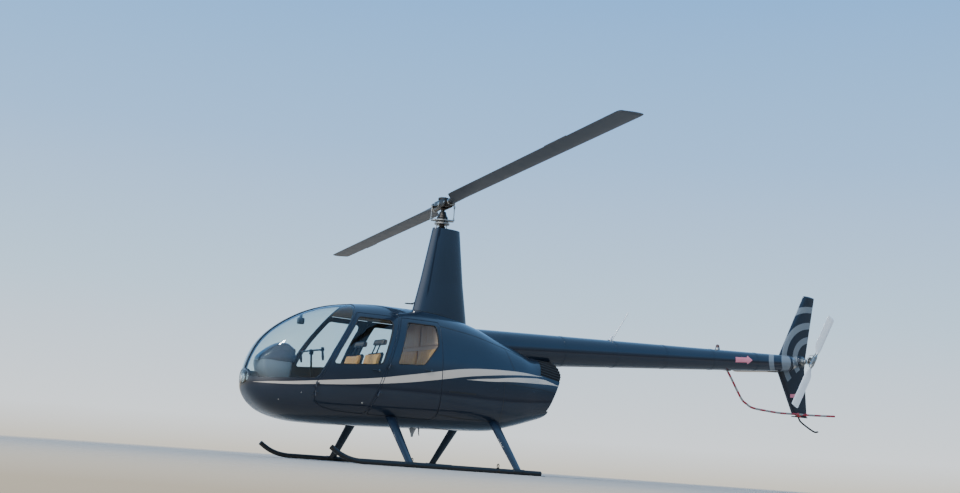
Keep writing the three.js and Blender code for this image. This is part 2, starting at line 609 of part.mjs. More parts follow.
// Skids and their legs; leg path rows: y, z, section half length, half thickness
const SKID_RADIUS = 28.5;
const SKID_PATH = [[-1672, 160], [-1610, 118], [-1530, 76], [-1430, 44], [-1320, 29.5], [-1220, 28.5], [-600, 28.5],
  [0, 28.5], [600, 28.5], [970, 28.5]];
const LEG_X = [-722, 670];
const LEG_GAP = 0.7; // between a leg's top and the belly, whose facets slant there
const LEG_DOOR_ROOM = 14; // kept free of the legs round the rear doors, which sweep past them
const LEG_PATH = [[-1086, 38, 46, 20], [-760, 318, 57, 24], [-420, 610, 68, 27]];

function buildGear() {
  const flat = SKID_RADIUS / Math.cos(Math.PI / 12);
  const skidRing = (x, z, tilt, radius) => Array.from({ length: 12 }, (_, i) => {
    const turn = (Math.PI * (i + 0.5)) / 6;
    const up = radius * Math.sin(turn);
    return new THREE.Vector3(x - up * Math.sin(tilt), -SKID_Y + radius * Math.cos(turn), z + up * Math.cos(tilt));
  });
  const rings = SKID_PATH.map(([x, z], i) => {
    const before = SKID_PATH[Math.max(i - 1, 0)];
    const after = SKID_PATH[Math.min(i + 1, SKID_PATH.length - 1)];
    return skidRing(x, z, Math.atan2(after[1] - before[1], after[0] - before[0]), flat);
  });
  const skid = loft(rings);
  addPair("skid", skid, paint(0x15171a, 0.4, 0.3));
  const doorRoom = onSide(grown(REAR_DOOR_OUTLINE, LEG_DOOR_ROOM)).intersect(bodyForm(-LEG_DOOR_ROOM));
  for (const [i, x] of LEG_X.entries()) {
    const leg = loft(LEG_PATH.map(([y, z, length, thickness], j) => {
      const before = LEG_PATH[Math.max(j - 1, 0)];
      const after = LEG_PATH[Math.min(j + 1, LEG_PATH.length - 1)];
      const tilt = Math.atan2(after[1] - before[1], after[0] - before[0]);
      return Array.from({ length: 14 }, (_, k) => {
        const turn = (2 * Math.PI * k) / 14;
        const off = thickness * Math.sin(turn);
        return new THREE.Vector3(x + length * Math.cos(turn), y - off * Math.sin(tilt), z + off * Math.cos(tilt));
      });
    }));
    const seat = rod([-1300, -SKID_Y, 28.5], [1100, -SKID_Y, 28.5], SKID_RADIUS + 1.3, 24);
    addPair(`${i ? "rear" : "front"}_leg`, leg.subtract(bodyForm(-LEG_GAP)).subtract(doorRoom).subtract(seat), navyPaint);
  }
}

// Cabin fittings
function buildInterior() {
  const inside = bodyForm(WALL + DOOR_GAP + 6);
  const onFloor = FLOOR_Z + SEAT_GAP;
  const aboveFloor = halfSpace(-2500, 0, onFloor, 2500);
  const seatBox = (x0, x1, y0, y1, top) => box(x0, x1, y0, y1, onFloor, top);
  const frontSeat = joined(
    seatBox(-1420, -960, -490, -60, 900),
    box(-1440, -950, -490, -60, 880, 965),
    sidePrism([[-1010, 930], [-950, 900], [-857, 1255], [-875, 1282], [-915, 1282], [-930, 1262]], -480, -70),
    ...[-335, -215].map((y) => rod([-895, y, 1250], [-845, y, 1400], 7, 8)),
    sidePrism([[-862, 1360], [-820, 1352], [-796, 1362], [-790, 1440], [-806, 1452], [-838, 1450]], -425, -125),
  );
  addPair("front_seat", frontSeat.intersect(inside), tanLeather);
  const bench = joined(
    seatBox(-640, -162, -530, 530, 900),
    box(-660, -162, -530, 530, 880, 965),
    sidePrism([[-250, 960], [-162, 960], [-162, 1410], [-210, 1420]], -510, 510),
  );
  add("rear_seat", bench.intersect(inside), tanLeather);
  const console = joined(
    sidePrism([[-2060, onFloor], [-1620, onFloor], [-1580, 840], [-1640, 880], [-1800, 960], [-1830, 1100], [-2040, 1040]],
      -105, 105),
    sidePrism([[-2195, 1010], [-2120, 990], [-1830, 1020], [-1802, 1050], [-1806, 1235], [-1850, 1290], [-1920, 1305],
      [-1990, 1290], [-2090, 1215], [-2170, 1110]], -190, 190),
  );
  add("instrument_console", console.intersect(inside), interiorGrey);
  const stick = joined(
    rod([-1498, 0, 560], [-1560, 0, 1215], 14, 10),
    rod([-1560, -330, 1240], [-1560, 330, 1240], 11, 10),
    rod([-1560, 0, 1200], [-1560, 0, 1240], 18, 10),
    ...[-330, 330].map((y) => rod([-1545, y, 1130], [-1565, y, 1262], 15, 10)),
  );
  add("cyclic_control", stick.intersect(aboveFloor), darkMetal);
  const lever = joined(
    rod([-1190, -37, onFloor], [-1190, -37, 715], 16, 10),
    rod([-1180, -37, 695], [-1480, -37, 860], 12, 10),
  );
  const pedals = [-380, -220].map((y) => joined(
    rod([-1790, y, 560], [-1830, y, 720], 9, 8),
    box(-1842, -1824, y - 40, y + 40, 690, 770),
  ));
  add("collective_lever", lever, darkMetal);
  const pedalBar = rod([-1801, -400, 616], [-1801, -200, 616], 9, 8);
  addPair("pedals", joined(...pedals, pedalBar).intersect(aboveFloor), darkMetal);
}

function buildSmallPieces() {
  add("pitot_tube", joined(rod([-420, 0, 1935], [-300, 0, 1940], 9, 8), rod([-330, 0, 1938], [-262, 0, 1990], 7, 8))
    .subtract(around).subtract(fairingForm(SEAT_GAP)), darkMetal);
  add("whip_antenna", joined(rod([2600, 0, 1770], [2648, 0, 1842], 26, 10, 12),
    rod([2640, 0, 1832], [2877, 0, 2211], 7, 8, 4)).subtract(boomForm(SEAT_GAP)), whitePaint);
  add("beacon", rod([4424, 0, 1800], [4424, 0, 1960], 34, 14, 28).subtract(boomForm(SEAT_GAP)), redPaint);
}

buildCabin();
buildDoors();
buildAftBody();
buildMast();
buildMainRotor();
buildTail();
buildTailRotor();
buildGear();
buildInterior();
buildSmallPieces();

export default craft;
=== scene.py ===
import math
import time
import bmesh
import bpy
import numpy as np
from mathutils import Matrix, Vector
from mathutils.bvhtree import BVHTree


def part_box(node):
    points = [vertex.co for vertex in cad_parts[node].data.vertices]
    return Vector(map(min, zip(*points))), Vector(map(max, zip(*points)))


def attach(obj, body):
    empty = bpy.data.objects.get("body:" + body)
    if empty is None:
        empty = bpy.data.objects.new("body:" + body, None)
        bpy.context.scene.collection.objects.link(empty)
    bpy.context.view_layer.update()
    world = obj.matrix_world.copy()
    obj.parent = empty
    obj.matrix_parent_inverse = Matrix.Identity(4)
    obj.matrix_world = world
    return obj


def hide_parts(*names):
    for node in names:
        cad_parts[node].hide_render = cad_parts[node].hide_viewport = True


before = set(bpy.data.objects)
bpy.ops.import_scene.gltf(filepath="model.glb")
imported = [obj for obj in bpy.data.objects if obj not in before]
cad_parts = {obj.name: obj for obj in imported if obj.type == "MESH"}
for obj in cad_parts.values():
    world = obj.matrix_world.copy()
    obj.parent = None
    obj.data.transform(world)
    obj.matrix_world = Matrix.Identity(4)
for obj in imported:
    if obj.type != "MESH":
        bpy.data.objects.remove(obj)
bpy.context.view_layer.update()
startTime = time.time()

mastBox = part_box("mast_and_lower_swashplate")
mastX = (mastBox[0][0] + mastBox[1][0]) / 2  # sizes below are metres from the mast, nose towards -x


def stage(words):
    print(f"[{time.time() - startTime:5.1f} s] {words}")


# Camera
cameraSet = {
    "place": (-7.1027, -13.8692, .08),  # from the mast, lens at apron level
    "azimuth": -28.9156, "elevation": -9.6484, "roll": 4.1092, "lens": 48.081,
}


def linked(piece):
    bpy.context.scene.collection.objects.link(piece)
    return piece


def addCamera(values):
    azimuth, elevation, roll = (math.radians(values[key]) for key in ("azimuth", "elevation", "roll"))
    level = math.cos(elevation)
    back = Vector((math.sin(azimuth) * level, -math.cos(azimuth) * level, math.sin(elevation)))
    right = Vector((0, 0, 1)).cross(back).normalized()
    up = back.cross(right)
    turnedRight = right * math.cos(roll) + up * math.sin(roll)
    turnedUp = up * math.cos(roll) - right * math.sin(roll)
    data = bpy.data.cameras.new("photoCamera")
    data.lens, data.sensor_width, data.clip_end = values["lens"], 36, 500
    camera = bpy.data.objects.new("photoCamera", data)
    turn = Matrix((turnedRight, turnedUp, back)).transposed().to_4x4()
    camera.matrix_world = Matrix.Translation(Vector(values["place"]) + Vector((mastX, 0, 0))) @ turn
    bpy.context.scene.camera = linked(camera)


addCamera(cameraSet)


# Materials
def linear(hexColour):
    parts = [int(hexColour[i:i + 2], 16) / 255 for i in (1, 3, 5)]
    return (*[c / 12.92 if c <= .04045 else ((c + .055) / 1.055) ** 2.4 for c in parts], 1.0)


def addNode(tree, kind, inputs=None, **settings):
    node = tree.nodes.new("ShaderNode" + kind)
    for key, value in settings.items():
        setattr(node, key, value)
    for name, value in (inputs or {}).items():
        if isinstance(value, bpy.types.NodeSocket):
            tree.links.new(value, node.inputs[name])
        else:
            node.inputs[name].default_value = value
    return node


def newMaterial(name, colour, roughness, metallic=0.0, **more):
    material = bpy.data.materials.new(name)
    material.use_nodes = True
    tree = material.node_tree
    shader = tree.nodes["Principled BSDF"]
    values = {"Base Color": linear(colour), "Roughness": roughness, "Metallic": metallic, **more}
    for key, value in values.items():
        shader.inputs[key].default_value = value
    return material, tree, shader


def addBump(tree, shader, height, strength, distance):
    bump = addNode(tree, "Bump", {"Height": height, "Strength": strength, "Distance": distance})
    tree.links.new(bump.outputs["Normal"], shader.inputs["Normal"])


def objectPlace(tree):
    return addNode(tree, "TexCoord").outputs["Object"]


def placeAxes(tree):  # x, y and z of the point seen
    return addNode(tree, "SeparateXYZ", {"Vector": objectPlace(tree)}).outputs


def calc(tree, operation, *values):
    return addNode(tree, "Math", dict(enumerate(values)), operation=operation).outputs[0]


def between(tree, value, low, high):  # 1 where a value lies between two others
    over = calc(tree, "GREATER_THAN", value, low)
    return calc(tree, "MULTIPLY", over, calc(tree, "GREATER_THAN", high, value))


def blend(tree, share, first, second):
    return addNode(tree, "Mix", {"Factor": share, 6: first, 7: second}, data_type="RGBA").outputs[2]


def spanned(tree, value, ends, smooth=False):  # ends are what comes in, low and high, then what goes out
    values = dict(zip(("From Min", "From Max", "To Min", "To Max"), ends))
    kind = "SMOOTHSTEP" if smooth else "LINEAR"
    return addNode(tree, "MapRange", {"Value": value, **values}, interpolation_type=kind).outputs[0]


def noise(tree, place, scale, detail):
    return addNode(tree, "TexNoise", {"Vector": place, "Scale": scale, "Detail": detail}).outputs[0]


# Stripe edges along the body: x from the mast, then height, for both sides alike
stripes = {
    "colour": "#bdb1a2", "reach": (-2.4, 1.7), "high": (.78, 1.24),
    "upperTop": [(-2.305, .812), (-2.17, .826), (-1.97, .843), (-1.66, .88), (-1.38, .914), (-1.02, .962),
                 (-.65, 1.029), (-.27, 1.103), (-.07, 1.144), (.14, 1.178), (.36, 1.201), (.81, 1.223),
                 (1.06, 1.224), (1.36, 1.206)],
    "upperBottom": [(-2.305, .808), (-2.17, .806), (-1.97, .811), (-1.66, .837), (-1.38, .858),
                    (-1.02, .897), (-.65, .944), (-.27, 1.008), (-.07, 1.045), (.14, 1.085), (.36, 1.118),
                    (.81, 1.172), (1.06, 1.192), (1.36, 1.204)],
    "lowerTop": [(.176, 1.058), (.36, 1.082), (.58, 1.106), (.81, 1.138), (1.05, 1.162), (1.31, 1.174),
                 (1.49, 1.146), (1.62, 1.116)],
    "lowerBottom": [(.176, 1.056), (.36, 1.06), (.58, 1.07), (.81, 1.09), (1.05, 1.102), (1.31, 1.112),
                    (1.49, 1.116), (1.62, 1.111)],
}


def stripeMask(tree):
    place = placeAxes(tree)
    low, high = stripes["reach"]
    bottom, top = stripes["high"]
    along = spanned(tree, place["X"], (low + mastX, high + mastX))
    edges = {}
    for key in ("upperTop", "upperBottom", "lowerTop", "lowerBottom"):
        curve = addNode(tree, "FloatCurve", {"Value": along})
        points = curve.mapping.curves[0].points
        wanted = [((x - low) / (high - low), (z - bottom) / (top - bottom)) for x, z in stripes[key]]
        wanted = [(0.0, wanted[0][1])] + wanted + [(1.0, wanted[-1][1])]
        while len(points) < len(wanted):
            points.new(.5, .5)
        for point, spot in zip(points, wanted):
            point.location = spot
        curve.mapping.update()
        edges[key] = spanned(tree, curve.outputs[0], (0, 1, bottom, top))
    masks = []
    for name in ("upper", "lower"):
        across = between(tree, place["Z"], edges[name + "Bottom"], edges[name + "Top"])
        start, end = stripes[name + "Top"][0][0], stripes[name + "Top"][-1][0]
        masks.append(calc(tree, "MULTIPLY", across, between(tree, place["X"], start + mastX, end + mastX)))
    return calc(tree, "MAXIMUM", *masks)


# Two-pack polyurethane enamel, sprayed: deep navy under a clear gloss, with a faint orange peel
enamel = {"navy": "#111823", "navyLight": "#172230", "roughness": .3, "coat": 1.0, "coatRoughness": .035,
          "peelMm": 9, "peelStrength": .05}


def enamelMaterial(name, mask=None, maskColour=None):
    material, tree, shader = newMaterial(name, enamel["navy"], enamel["roughness"], 0.0,
            **{"Coat Weight": enamel["coat"], "Coat Roughness": enamel["coatRoughness"], "Coat IOR": 1.5,
               "IOR": 1.5, "Specular IOR Level": .15})
    place = objectPlace(tree)
    drift = noise(tree, place, 1.6, 2.0)  # slow change over a panel
    base = blend(tree, drift, linear(enamel["navy"]), linear(enamel["navyLight"]))
    if mask:
        base = blend(tree, mask(tree), base, linear(maskColour))
    tree.links.new(base, shader.inputs["Base Color"])
    peel = noise(tree, place, 1000 / enamel["peelMm"], 1.0)
    addBump(tree, shader, peel, enamel["peelStrength"], .0006)
    return material


# Rings on the fin and the boom's end: radii of the light bands, about a centre that slides as y grows
# the ring colour is the stripes' light grey painted darker and cooler, as shade
finRings = {"centre": (6.145, 1.913), "slide": (.93, .13), "bands": [(.245, .335), (.45, .545), (.69, .78)],
            "endSlope": .85, "collar": (5.545, 5.675), "boomSide": .1235, "colour": "#6f777d"}


def ringMask(tree):
    place = placeAxes(tree)
    middles = (finRings["centre"][0] + mastX, finRings["centre"][1])
    across, up = [calc(tree, "SUBTRACT", place[axis], calc(tree, "MULTIPLY_ADD", place["Y"], slide, middle))
                  for axis, slide, middle in zip("XZ", finRings["slide"], middles)]
    flat = addNode(tree, "CombineXYZ", {"X": across, "Y": up}).outputs[0]
    radius = addNode(tree, "VectorMath", {0: flat}, operation="LENGTH").outputs["Value"]
    rings = 0.0
    for low, high in finRings["bands"]:
        rings = calc(tree, "MAXIMUM", rings, between(tree, radius, low, high))
    edge = calc(tree, "MULTIPLY", across, finRings["endSlope"])
    rings = calc(tree, "MULTIPLY", rings, calc(tree, "GREATER_THAN", up, edge))
    collar = between(tree, place["X"], *[x + mastX for x in finRings["collar"]])
    collar = calc(tree, "MULTIPLY", collar, calc(tree, "GREATER_THAN", finRings["boomSide"], place["Y"]))
    return calc(tree, "MAXIMUM", rings, collar)


bodyEnamel = enamelMaterial("navyEnamelStriped", stripeMask, stripes["colour"])
plainEnamel = enamelMaterial("navyEnamel")
finEnamel = enamelMaterial("navyEnamelRinged", ringMask, finRings["colour"])


def acrylicMaterial():  # cast acrylic, polished: clear with a cool tint and a sharp sky reflection
    material, tree, shader = newMaterial("castAcrylic", "#f0f5f8", .02, 1.0)
    clear = addNode(tree, "BsdfTransparent", {"Color": linear("#eef4f5")})
    facing = addNode(tree, "LayerWeight", {"Blend": .5}).outputs["Facing"]
    share = spanned(tree, calc(tree, "POWER", facing, 4.0), (0, 1, .04, .9))
    front = calc(tree, "SUBTRACT", 1.0, addNode(tree, "NewGeometry").outputs["Backfacing"])
    seen = calc(tree, "MULTIPLY", share, front)
    mix = addNode(tree, "MixShader", {0: seen, 1: clear.outputs[0], 2: shader.outputs[0]})
    tree.links.new(mix.outputs[0], tree.nodes["Material Output"].inputs["Surface"])
    return material


# colour and roughness drift together over the surface
def surfaced(tree, shader, wear, colours, roughness):
    tree.links.new(blend(tree, wear, *map(linear, colours)), shader.inputs["Base Color"])
    tree.links.new(spanned(tree, wear, (0, 1, *roughness)), shader.inputs["Roughness"])


def grained(name, colour, darker, roughness, grainMm, strength, depth, metallic=0.0, **more):
    material, tree, shader = newMaterial(name, colour, roughness, metallic, **more)
    place = objectPlace(tree)
    spread = (roughness * .8, roughness * 1.2)
    surfaced(tree, shader, noise(tree, place, 6.0, 4.0), (colour, darker), spread)
    addBump(tree, shader, noise(tree, place, 1000 / grainMm, 3.0), strength, depth)
    return material


acrylic = acrylicMaterial()
satinBlack = grained("satinBlackEnamel", "#0e1012", "#16181b", .36, 14, .12, .0005)  # rubbed gear paint
bladePaint = grained("matBladePaint", "#3c434b", "#4a5058", .5, 20, .08, .0004)  # dull, so no glint in flight
castAluminium = grained("castAluminium", "#b5b3ae", "#8e8b86", .38, 5, .25, .0004, 1.0)  # grainy bright metal
darkSteel = grained("blackenedSteel", "#4b4640", "#2f2b28", .42, 6, .2, .0003, .85)  # oily brown-black
brightSteel = grained("platedSteel", "#c9c7c0", "#9c9a94", .25, 8, .08, .0002, 1.0)  # bolts and rod ends
rubber = grained("blackRubber", "#141414", "#1d1d1d", .7, 3, .2, .0003)  # window seals, dull
sealRubber = grained("navyDoorSeal", "#141c28", "#182130", .45, 4, .1, .0003)  # dark bead, near the paint
louvreShadeBlack = grained("paintedLouvreShade", "#050506", "#0a0a0b", .95, 4, .2, .0003)  # near-black sheet, painted shade behind the louvres
stripPaint = grained("satinGreyStrip", "#59636b", "#4f5860", .5, 10, .06, .0003)  # dull cover strip
edgePaint = grained("dullNavyEdge", "#10161f", "#151d28", .75, 6, .1, .0003)  # unpolished edges
trimPlastic = grained("mouldedTrimPlastic", "#2c2f33", "#25282b", .62, 2.5, .4, .0004)  # leathery
headliner = grained("greyHeadliner", "#9a9388", "#8b8479", .9, 3, .4, .0005)  # felted cloth, no shine
carpet = grained("loopCarpet", "#3b3c40", "#2c2d31", .95, 5, .9, .002)  # loops, deep and dull
# glossy blue-black moulded hood
dashGloss = grained("blueBlackGlossHood", "#1a212b", "#232c38", .22, 9, .08, .0004, **{"Coat Weight": .5})
dashGrey = grained("greyMouldedShroud", "#858b90", "#777d82", .5, 4, .3, .0004)  # pale shroud under the hood
# the two glossy enamels, clean and bright
whitePaint = grained("whiteEnamel", "#dfe2e3", "#d2d5d6", .3, 12, .05, .0003, **{"Coat Weight": .6})
redPaint = grained("redEnamel", "#b8232c", "#a01d26", .3, 12, .05, .0003, **{"Coat Weight": .6})
plateRed = grained("fadedRedPlate", "#de8a98", "#d06f80", .35, 8, .05, .0002)  # sun-faded, a little chalky
smokedLens = grained("smokedLensPlastic", "#5a4038", "#4a342e", .1, 20, .03, .0002)  # dull red-brown dome
greyPaint = grained("greyEnamel", "#a9abac", "#9b9d9e", .4, 12, .05, .0003)  # plain mid grey
dialFace = grained("dialFaceEnamel", "#0c0c0d", "#121213", .4, 10, .05, .0002)  # near black, dull
dialMark = grained("dialMarkPaint", "#e8e6df", "#dcdad2", .5, 10, .05, .0002)  # off-white marks
mirrorBowl = grained("lampReflector", "#f4f4f2", "#e8e8e6", .38, 30, .03, .0002, .85)  # brushed bright bowl


# tanned hide: fine creases, slight wear and a soft shine
def leatherMaterial(name, colour, lighter, creaseMm):
    material, tree, shader = newMaterial(name, colour, .5, **{"Sheen Weight": .15})
    place = objectPlace(tree)
    surfaced(tree, shader, noise(tree, place, 9.0, 5.0), (colour, lighter), (.42, .62))
    creases = addNode(tree, "TexVoronoi", {"Vector": place, "Scale": 1000 / creaseMm},
                      feature="DISTANCE_TO_EDGE")
    addBump(tree, shader, creases.outputs["Distance"], .35, .0008)
    return material


# Guard tube: bands along its length in metres, up to where its tip begins
# the white and the red are given darker than the enamels elsewhere, as painted shade
bands = {"pair": .11, "pale": .055, "tipX": 6.64, "red": "#93202a", "shadedWhiteColours": ("#77716b", "#9a948d")}


def bandedMaterial():  # enamelled tube, red and white bands painted dull red and grey-white as shade, a red tip
    material, tree, shader = newMaterial("bandedEnamel", "#a3222b", .4, **{"Coat Weight": .3})
    place = placeAxes(tree)
    step = calc(tree, "PINGPONG", calc(tree, "SUBTRACT", place["X"], place["Z"]), bands["pair"])
    before = calc(tree, "GREATER_THAN", bands["tipX"] + mastX, place["X"])
    shown = calc(tree, "MULTIPLY", calc(tree, "GREATER_THAN", step, bands["pale"]), before)
    grime = noise(tree, objectPlace(tree), 30.0, 3.0)
    pale = blend(tree, grime, *map(linear, bands["shadedWhiteColours"]))
    tree.links.new(blend(tree, shown, linear(bands["red"]), pale), shader.inputs["Base Color"])
    return material


hide = leatherMaterial("tanHide", "#cd8238", "#eeb262", 9)
greige = leatherMaterial("greyBeigeVinyl", "#bd8f70", "#d0a585", 6)
brownHide = leatherMaterial("brownHide", "#6b5442", "#846a54", 8)  # headrests, duller than the seats
blackHide = leatherMaterial("darkHide", "#2a2623", "#3a3531", 7)
bandedPaint = bandedMaterial()
stage("materials made")


# Meshes
plusX, minusX, plusY, minusY = (1, 0, 0), (-1, 0, 0), (0, 1, 0), (0, -1, 0)
plusZ, minusZ = (0, 0, 1), (0, 0, -1)
slabFaces = [(0, 1, 2, 3), (7, 6, 5, 4), (0, 4, 5, 1), (1, 5, 6, 2), (2, 6, 7, 3), (3, 7, 4, 0)]


def circle(count, shift=0.0):  # cosine and sine at even steps round a full turn
    turns = [2 * math.pi * (k + shift) / count for k in range(count)]
    return [(math.cos(turn), math.sin(turn)) for turn in turns]


class Shape:

    def __init__(self, place=None):
        self.points, self.faces, self.slots, self.count, self.place = [], [], [], 0, place

    def turn(self, *values, **settings):
        return self.made(turned, values, settings)

    def tube(self, *values, **settings):
        return self.made(tube, values, settings)

    def block(self, *values, **settings):
        return self.made(softBlock, values, settings)

    def made(self, maker, values, settings):
        where = {key: settings.pop(key) for key in ("slot", "place") if key in settings}
        return self.add(*maker(*values, **settings), **where)

    def add(self, points, faces, slot=0, place=None):
        place = place or self.place
        spots = [tuple(place @ Vector(p)) if place else tuple(p) for p in points]
        self.points += spots
        self.faces += [[i + self.count for i in face] for face in faces]
        self.slots += [slot] * len(faces)
        self.count += len(spots)
        return self


def meshObject(name, points, faces, shift=True):
    mesh = bpy.data.meshes.new(name)
    moved = [(x + mastX, y, z) for x, y, z in points] if shift else [tuple(p) for p in points]
    mesh.from_pydata(moved, [], [list(f) for f in faces])
    mesh.validate()
    return linked(bpy.data.objects.new(name, mesh))


def toFrame(piece):  # from the mast's x to the frame's
    piece.data.transform(Matrix.Translation((mastX, 0, 0)))


def finishPiece(piece, materials, node=None, body="airframe", sharpAngle=35):
    for material in materials:
        piece.data.materials.append(material)
    if sharpAngle:
        piece.data.shade_smooth()
        piece.data.set_sharp_from_angle(angle=math.radians(sharpAngle))
    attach(piece, body)
    if node:
        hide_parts(node)
    return piece


def outward(piece):
    build = bmesh.new()
    build.from_mesh(piece.data)
    bmesh.ops.recalc_face_normals(build, faces=build.faces)
    build.to_mesh(piece.data)
    build.free()


def pieceFrom(name, shape, materials, node=None, body="airframe", sharpAngle=35):
    piece = meshObject(name, shape.points, shape.faces)
    piece.data.polygons.foreach_set("material_index", shape.slots)
    outward(piece)
    return finishPiece(piece, materials, node, body, sharpAngle)


def ringFaces(rings, count, closedRun=False, caps=True):
    faces = []
    for r in range(rings if closedRun else rings - 1):
        a, b = r * count, ((r + 1) % rings) * count
        faces += [(a + i, a + (i + 1) % count, b + (i + 1) % count, b + i) for i in range(count)]
    if caps and not closedRun:
        faces += [tuple(range(count))[::-1], tuple(range((rings - 1) * count, rings * count))]
    return faces


def tube(points, radius, sides=12, closedRun=False, smooth=0):
    spots = [Vector(p) for p in points]
    if smooth:
        spots = smoothRun(spots, smooth, closedRun)
    radii = radius if isinstance(radius, (list, tuple)) else [radius] * len(spots)
    if len(radii) != len(spots):
        radii = list(np.interp(np.linspace(0, 1, len(spots)), np.linspace(0, 1, len(radii)), radii))
    out = []
    count = len(spots)
    side = None
    for i, spot in enumerate(spots):
        before = spots[(i - 1) % count] if closedRun or i else spot
        after = spots[(i + 1) % count] if closedRun or i < count - 1 else spot
        along = (after - before).normalized()
        if side is None:
            side = along.orthogonal().normalized()
        side = (side - along * side.dot(along)).normalized()
        other = along.cross(side)
        out += [spot + (side * x + other * y) * radii[i] for x, y in circle(sides)]
    return out, ringFaces(count, sides, closedRun)


def smoothRun(points, steps, closedRun=False):
    spots = [Vector(p) for p in points]
    count = len(spots)
    out = []
    for i in range(count if closedRun else count - 1):
        p0 = spots[(i - 1) % count] if closedRun or i else spots[0] * 2 - spots[1]
        p1, p2 = spots[i], spots[(i + 1) % count]
        p3 = spots[(i + 2) % count] if closedRun or i + 2 < count else spots[-1] * 2 - spots[-2]
        for k in range(steps):
            t = k / steps
            out.append(((p1 * 2) + (p2 - p0) * t + (p0 * 2 - p1 * 5 + p2 * 4 - p3) * t * t
                        + (p1 * 3 - p0 - p2 * 3 + p3) * t ** 3) * .5)
    return out if closedRun else out + [spots[-1]]


def turned(profile, start, along, sides=24):  # a profile of run and radius, turned about a line
    along = Vector(along).normalized()
    side = along.orthogonal().normalized()
    other = along.cross(side)
    out = [Vector(start) + along * run + (side * x + other * y) * max(radius, 1e-5)
           for run, radius in profile for x, y in circle(sides)]
    return out, ringFaces(len(profile), sides)


def softBlock(low, high, bevel=.003, segments=2):
    build = bmesh.new()
    bmesh.ops.create_cube(build, size=1)
    size = Vector(high) - Vector(low)
    middle = (Vector(high) + Vector(low)) / 2
    for vert in build.verts:
        vert.co = Vector((vert.co.x * size.x, vert.co.y * size.y, vert.co.z * size.z)) + middle
    if bevel:
        bmesh.ops.bevel(build, geom=build.edges[:] + build.verts[:], offset=bevel, segments=segments,
                        affect="EDGES", profile=.5, clamp_overlap=True)
    points = [v.co.copy() for v in build.verts]
    build.verts.index_update()
    faces = [[v.index for v in f.verts] for f in build.faces]
    build.free()
    return points, faces


# Body form: sections from nose to tail, the same as the solid's, joined smoothly
body = {
    "noseX": -2.36,
    "rows": [  # x, half width, top, height of the widest point, bottom
        (-2.36, .012, .872, .86, .848), (-2.34, .15, 1.005, .86, .735), (-2.295, .25, 1.14, .87, .655),
        (-2.215, .345, 1.29, .89, .57), (-2.08, .435, 1.44, .91, .49), (-1.9, .51, 1.575, .93, .44),
        (-1.68, .57, 1.695, .94, .415), (-1.4, .615, 1.79, .95, .412), (-1.1, .635, 1.84, .95, .42),
        (-.75, .64, 1.862, .95, .43), (-.4, .64, 1.862, .95, .442), (-.16, .635, 1.85, .95, .45),
        (.15, .615, 1.815, .95, .462), (.45, .585, 1.745, .95, .472), (.75, .545, 1.64, .95, .49),
        (1.05, .495, 1.54, .95, .56), (1.3, .44, 1.462, .95, .635), (1.5, .405, 1.45, .95, .7),
        (1.6, .39, 1.445, .95, .735), (1.7, .372, 1.43, .95, .765),
    ],
    "upperPower": 2.4, "lowerPower": 2.8,
    "rearFace": [(1.072, 0), (1.674, 1.25), (1.664, 1.35), (1.6, 1.44), (1.54, 1.5)],  # x and z, going up
    "rings": 200, "sides": 200,
}
bodyRun = np.sqrt(np.array([row[0] for row in body["rows"]]) - body["noseX"])
bodyColumns = np.array([row[1:] for row in body["rows"]]).T


def evenSlopes(x, y):  # slopes that keep a curve through its points without overshoot
    step, rise = np.diff(x), np.diff(y) / np.diff(x)
    slope = np.zeros_like(y)
    for i in range(1, len(y) - 1):
        if rise[i - 1] * rise[i] > 0:
            a, b = 2 * step[i] + step[i - 1], step[i] + 2 * step[i - 1]
            slope[i] = (a + b) / (a / rise[i - 1] + b / rise[i])
    slope[0], slope[-1] = rise[0], rise[-1]
    return slope


bodySlopes = [evenSlopes(bodyRun, column) for column in bodyColumns]


def sectionAt(x):
    t = np.sqrt(np.clip(np.asarray(x, float) - body["noseX"], 0, None))
    t = np.clip(t, bodyRun[0], bodyRun[-1])
    i = np.clip(np.searchsorted(bodyRun, t) - 1, 0, len(bodyRun) - 2)
    h = bodyRun[i + 1] - bodyRun[i]
    s = (t - bodyRun[i]) / h
    out = []
    for column, slope in zip(bodyColumns, bodySlopes):
        out.append(column[i] * (1 + 2 * s) * (1 - s) ** 2 + column[i + 1] * s * s * (3 - 2 * s)
                   + h * (slope[i] * s * (1 - s) ** 2 + slope[i + 1] * s * s * (s - 1)))
    return out


def bodyValue(points):
    x, y, z = points.T
    halfWidth, top, widest, bottom = sectionAt(x)
    up = z > widest
    power = np.where(up, body["upperPower"], body["lowerPower"])
    rise = np.where(up, top - widest, widest - bottom)
    return np.abs(y / halfWidth) ** power + (np.abs(z - widest) / rise) ** power - 1


def bodyNormals(points):
    points = np.asarray(points, float)
    out = np.zeros_like(points)
    for axis in range(3):
        step = np.zeros(3)
        step[axis] = 1e-4
        out[:, axis] = bodyValue(points + step) - bodyValue(points - step)
    length = np.linalg.norm(out, axis=1, keepdims=True)
    return out / np.maximum(length, 1e-12)


def sideY(x, z):  # how far out the port skin is, as a positive number
    halfWidth, top, widest, bottom = sectionAt(x)
    power = np.where(z > widest, body["upperPower"], body["lowerPower"])
    rise = np.where(z > widest, top - widest, widest - bottom)
    share = np.clip(1 - (np.abs(z - widest) / rise) ** power, 0, None)
    return halfWidth * share ** (1 / power)


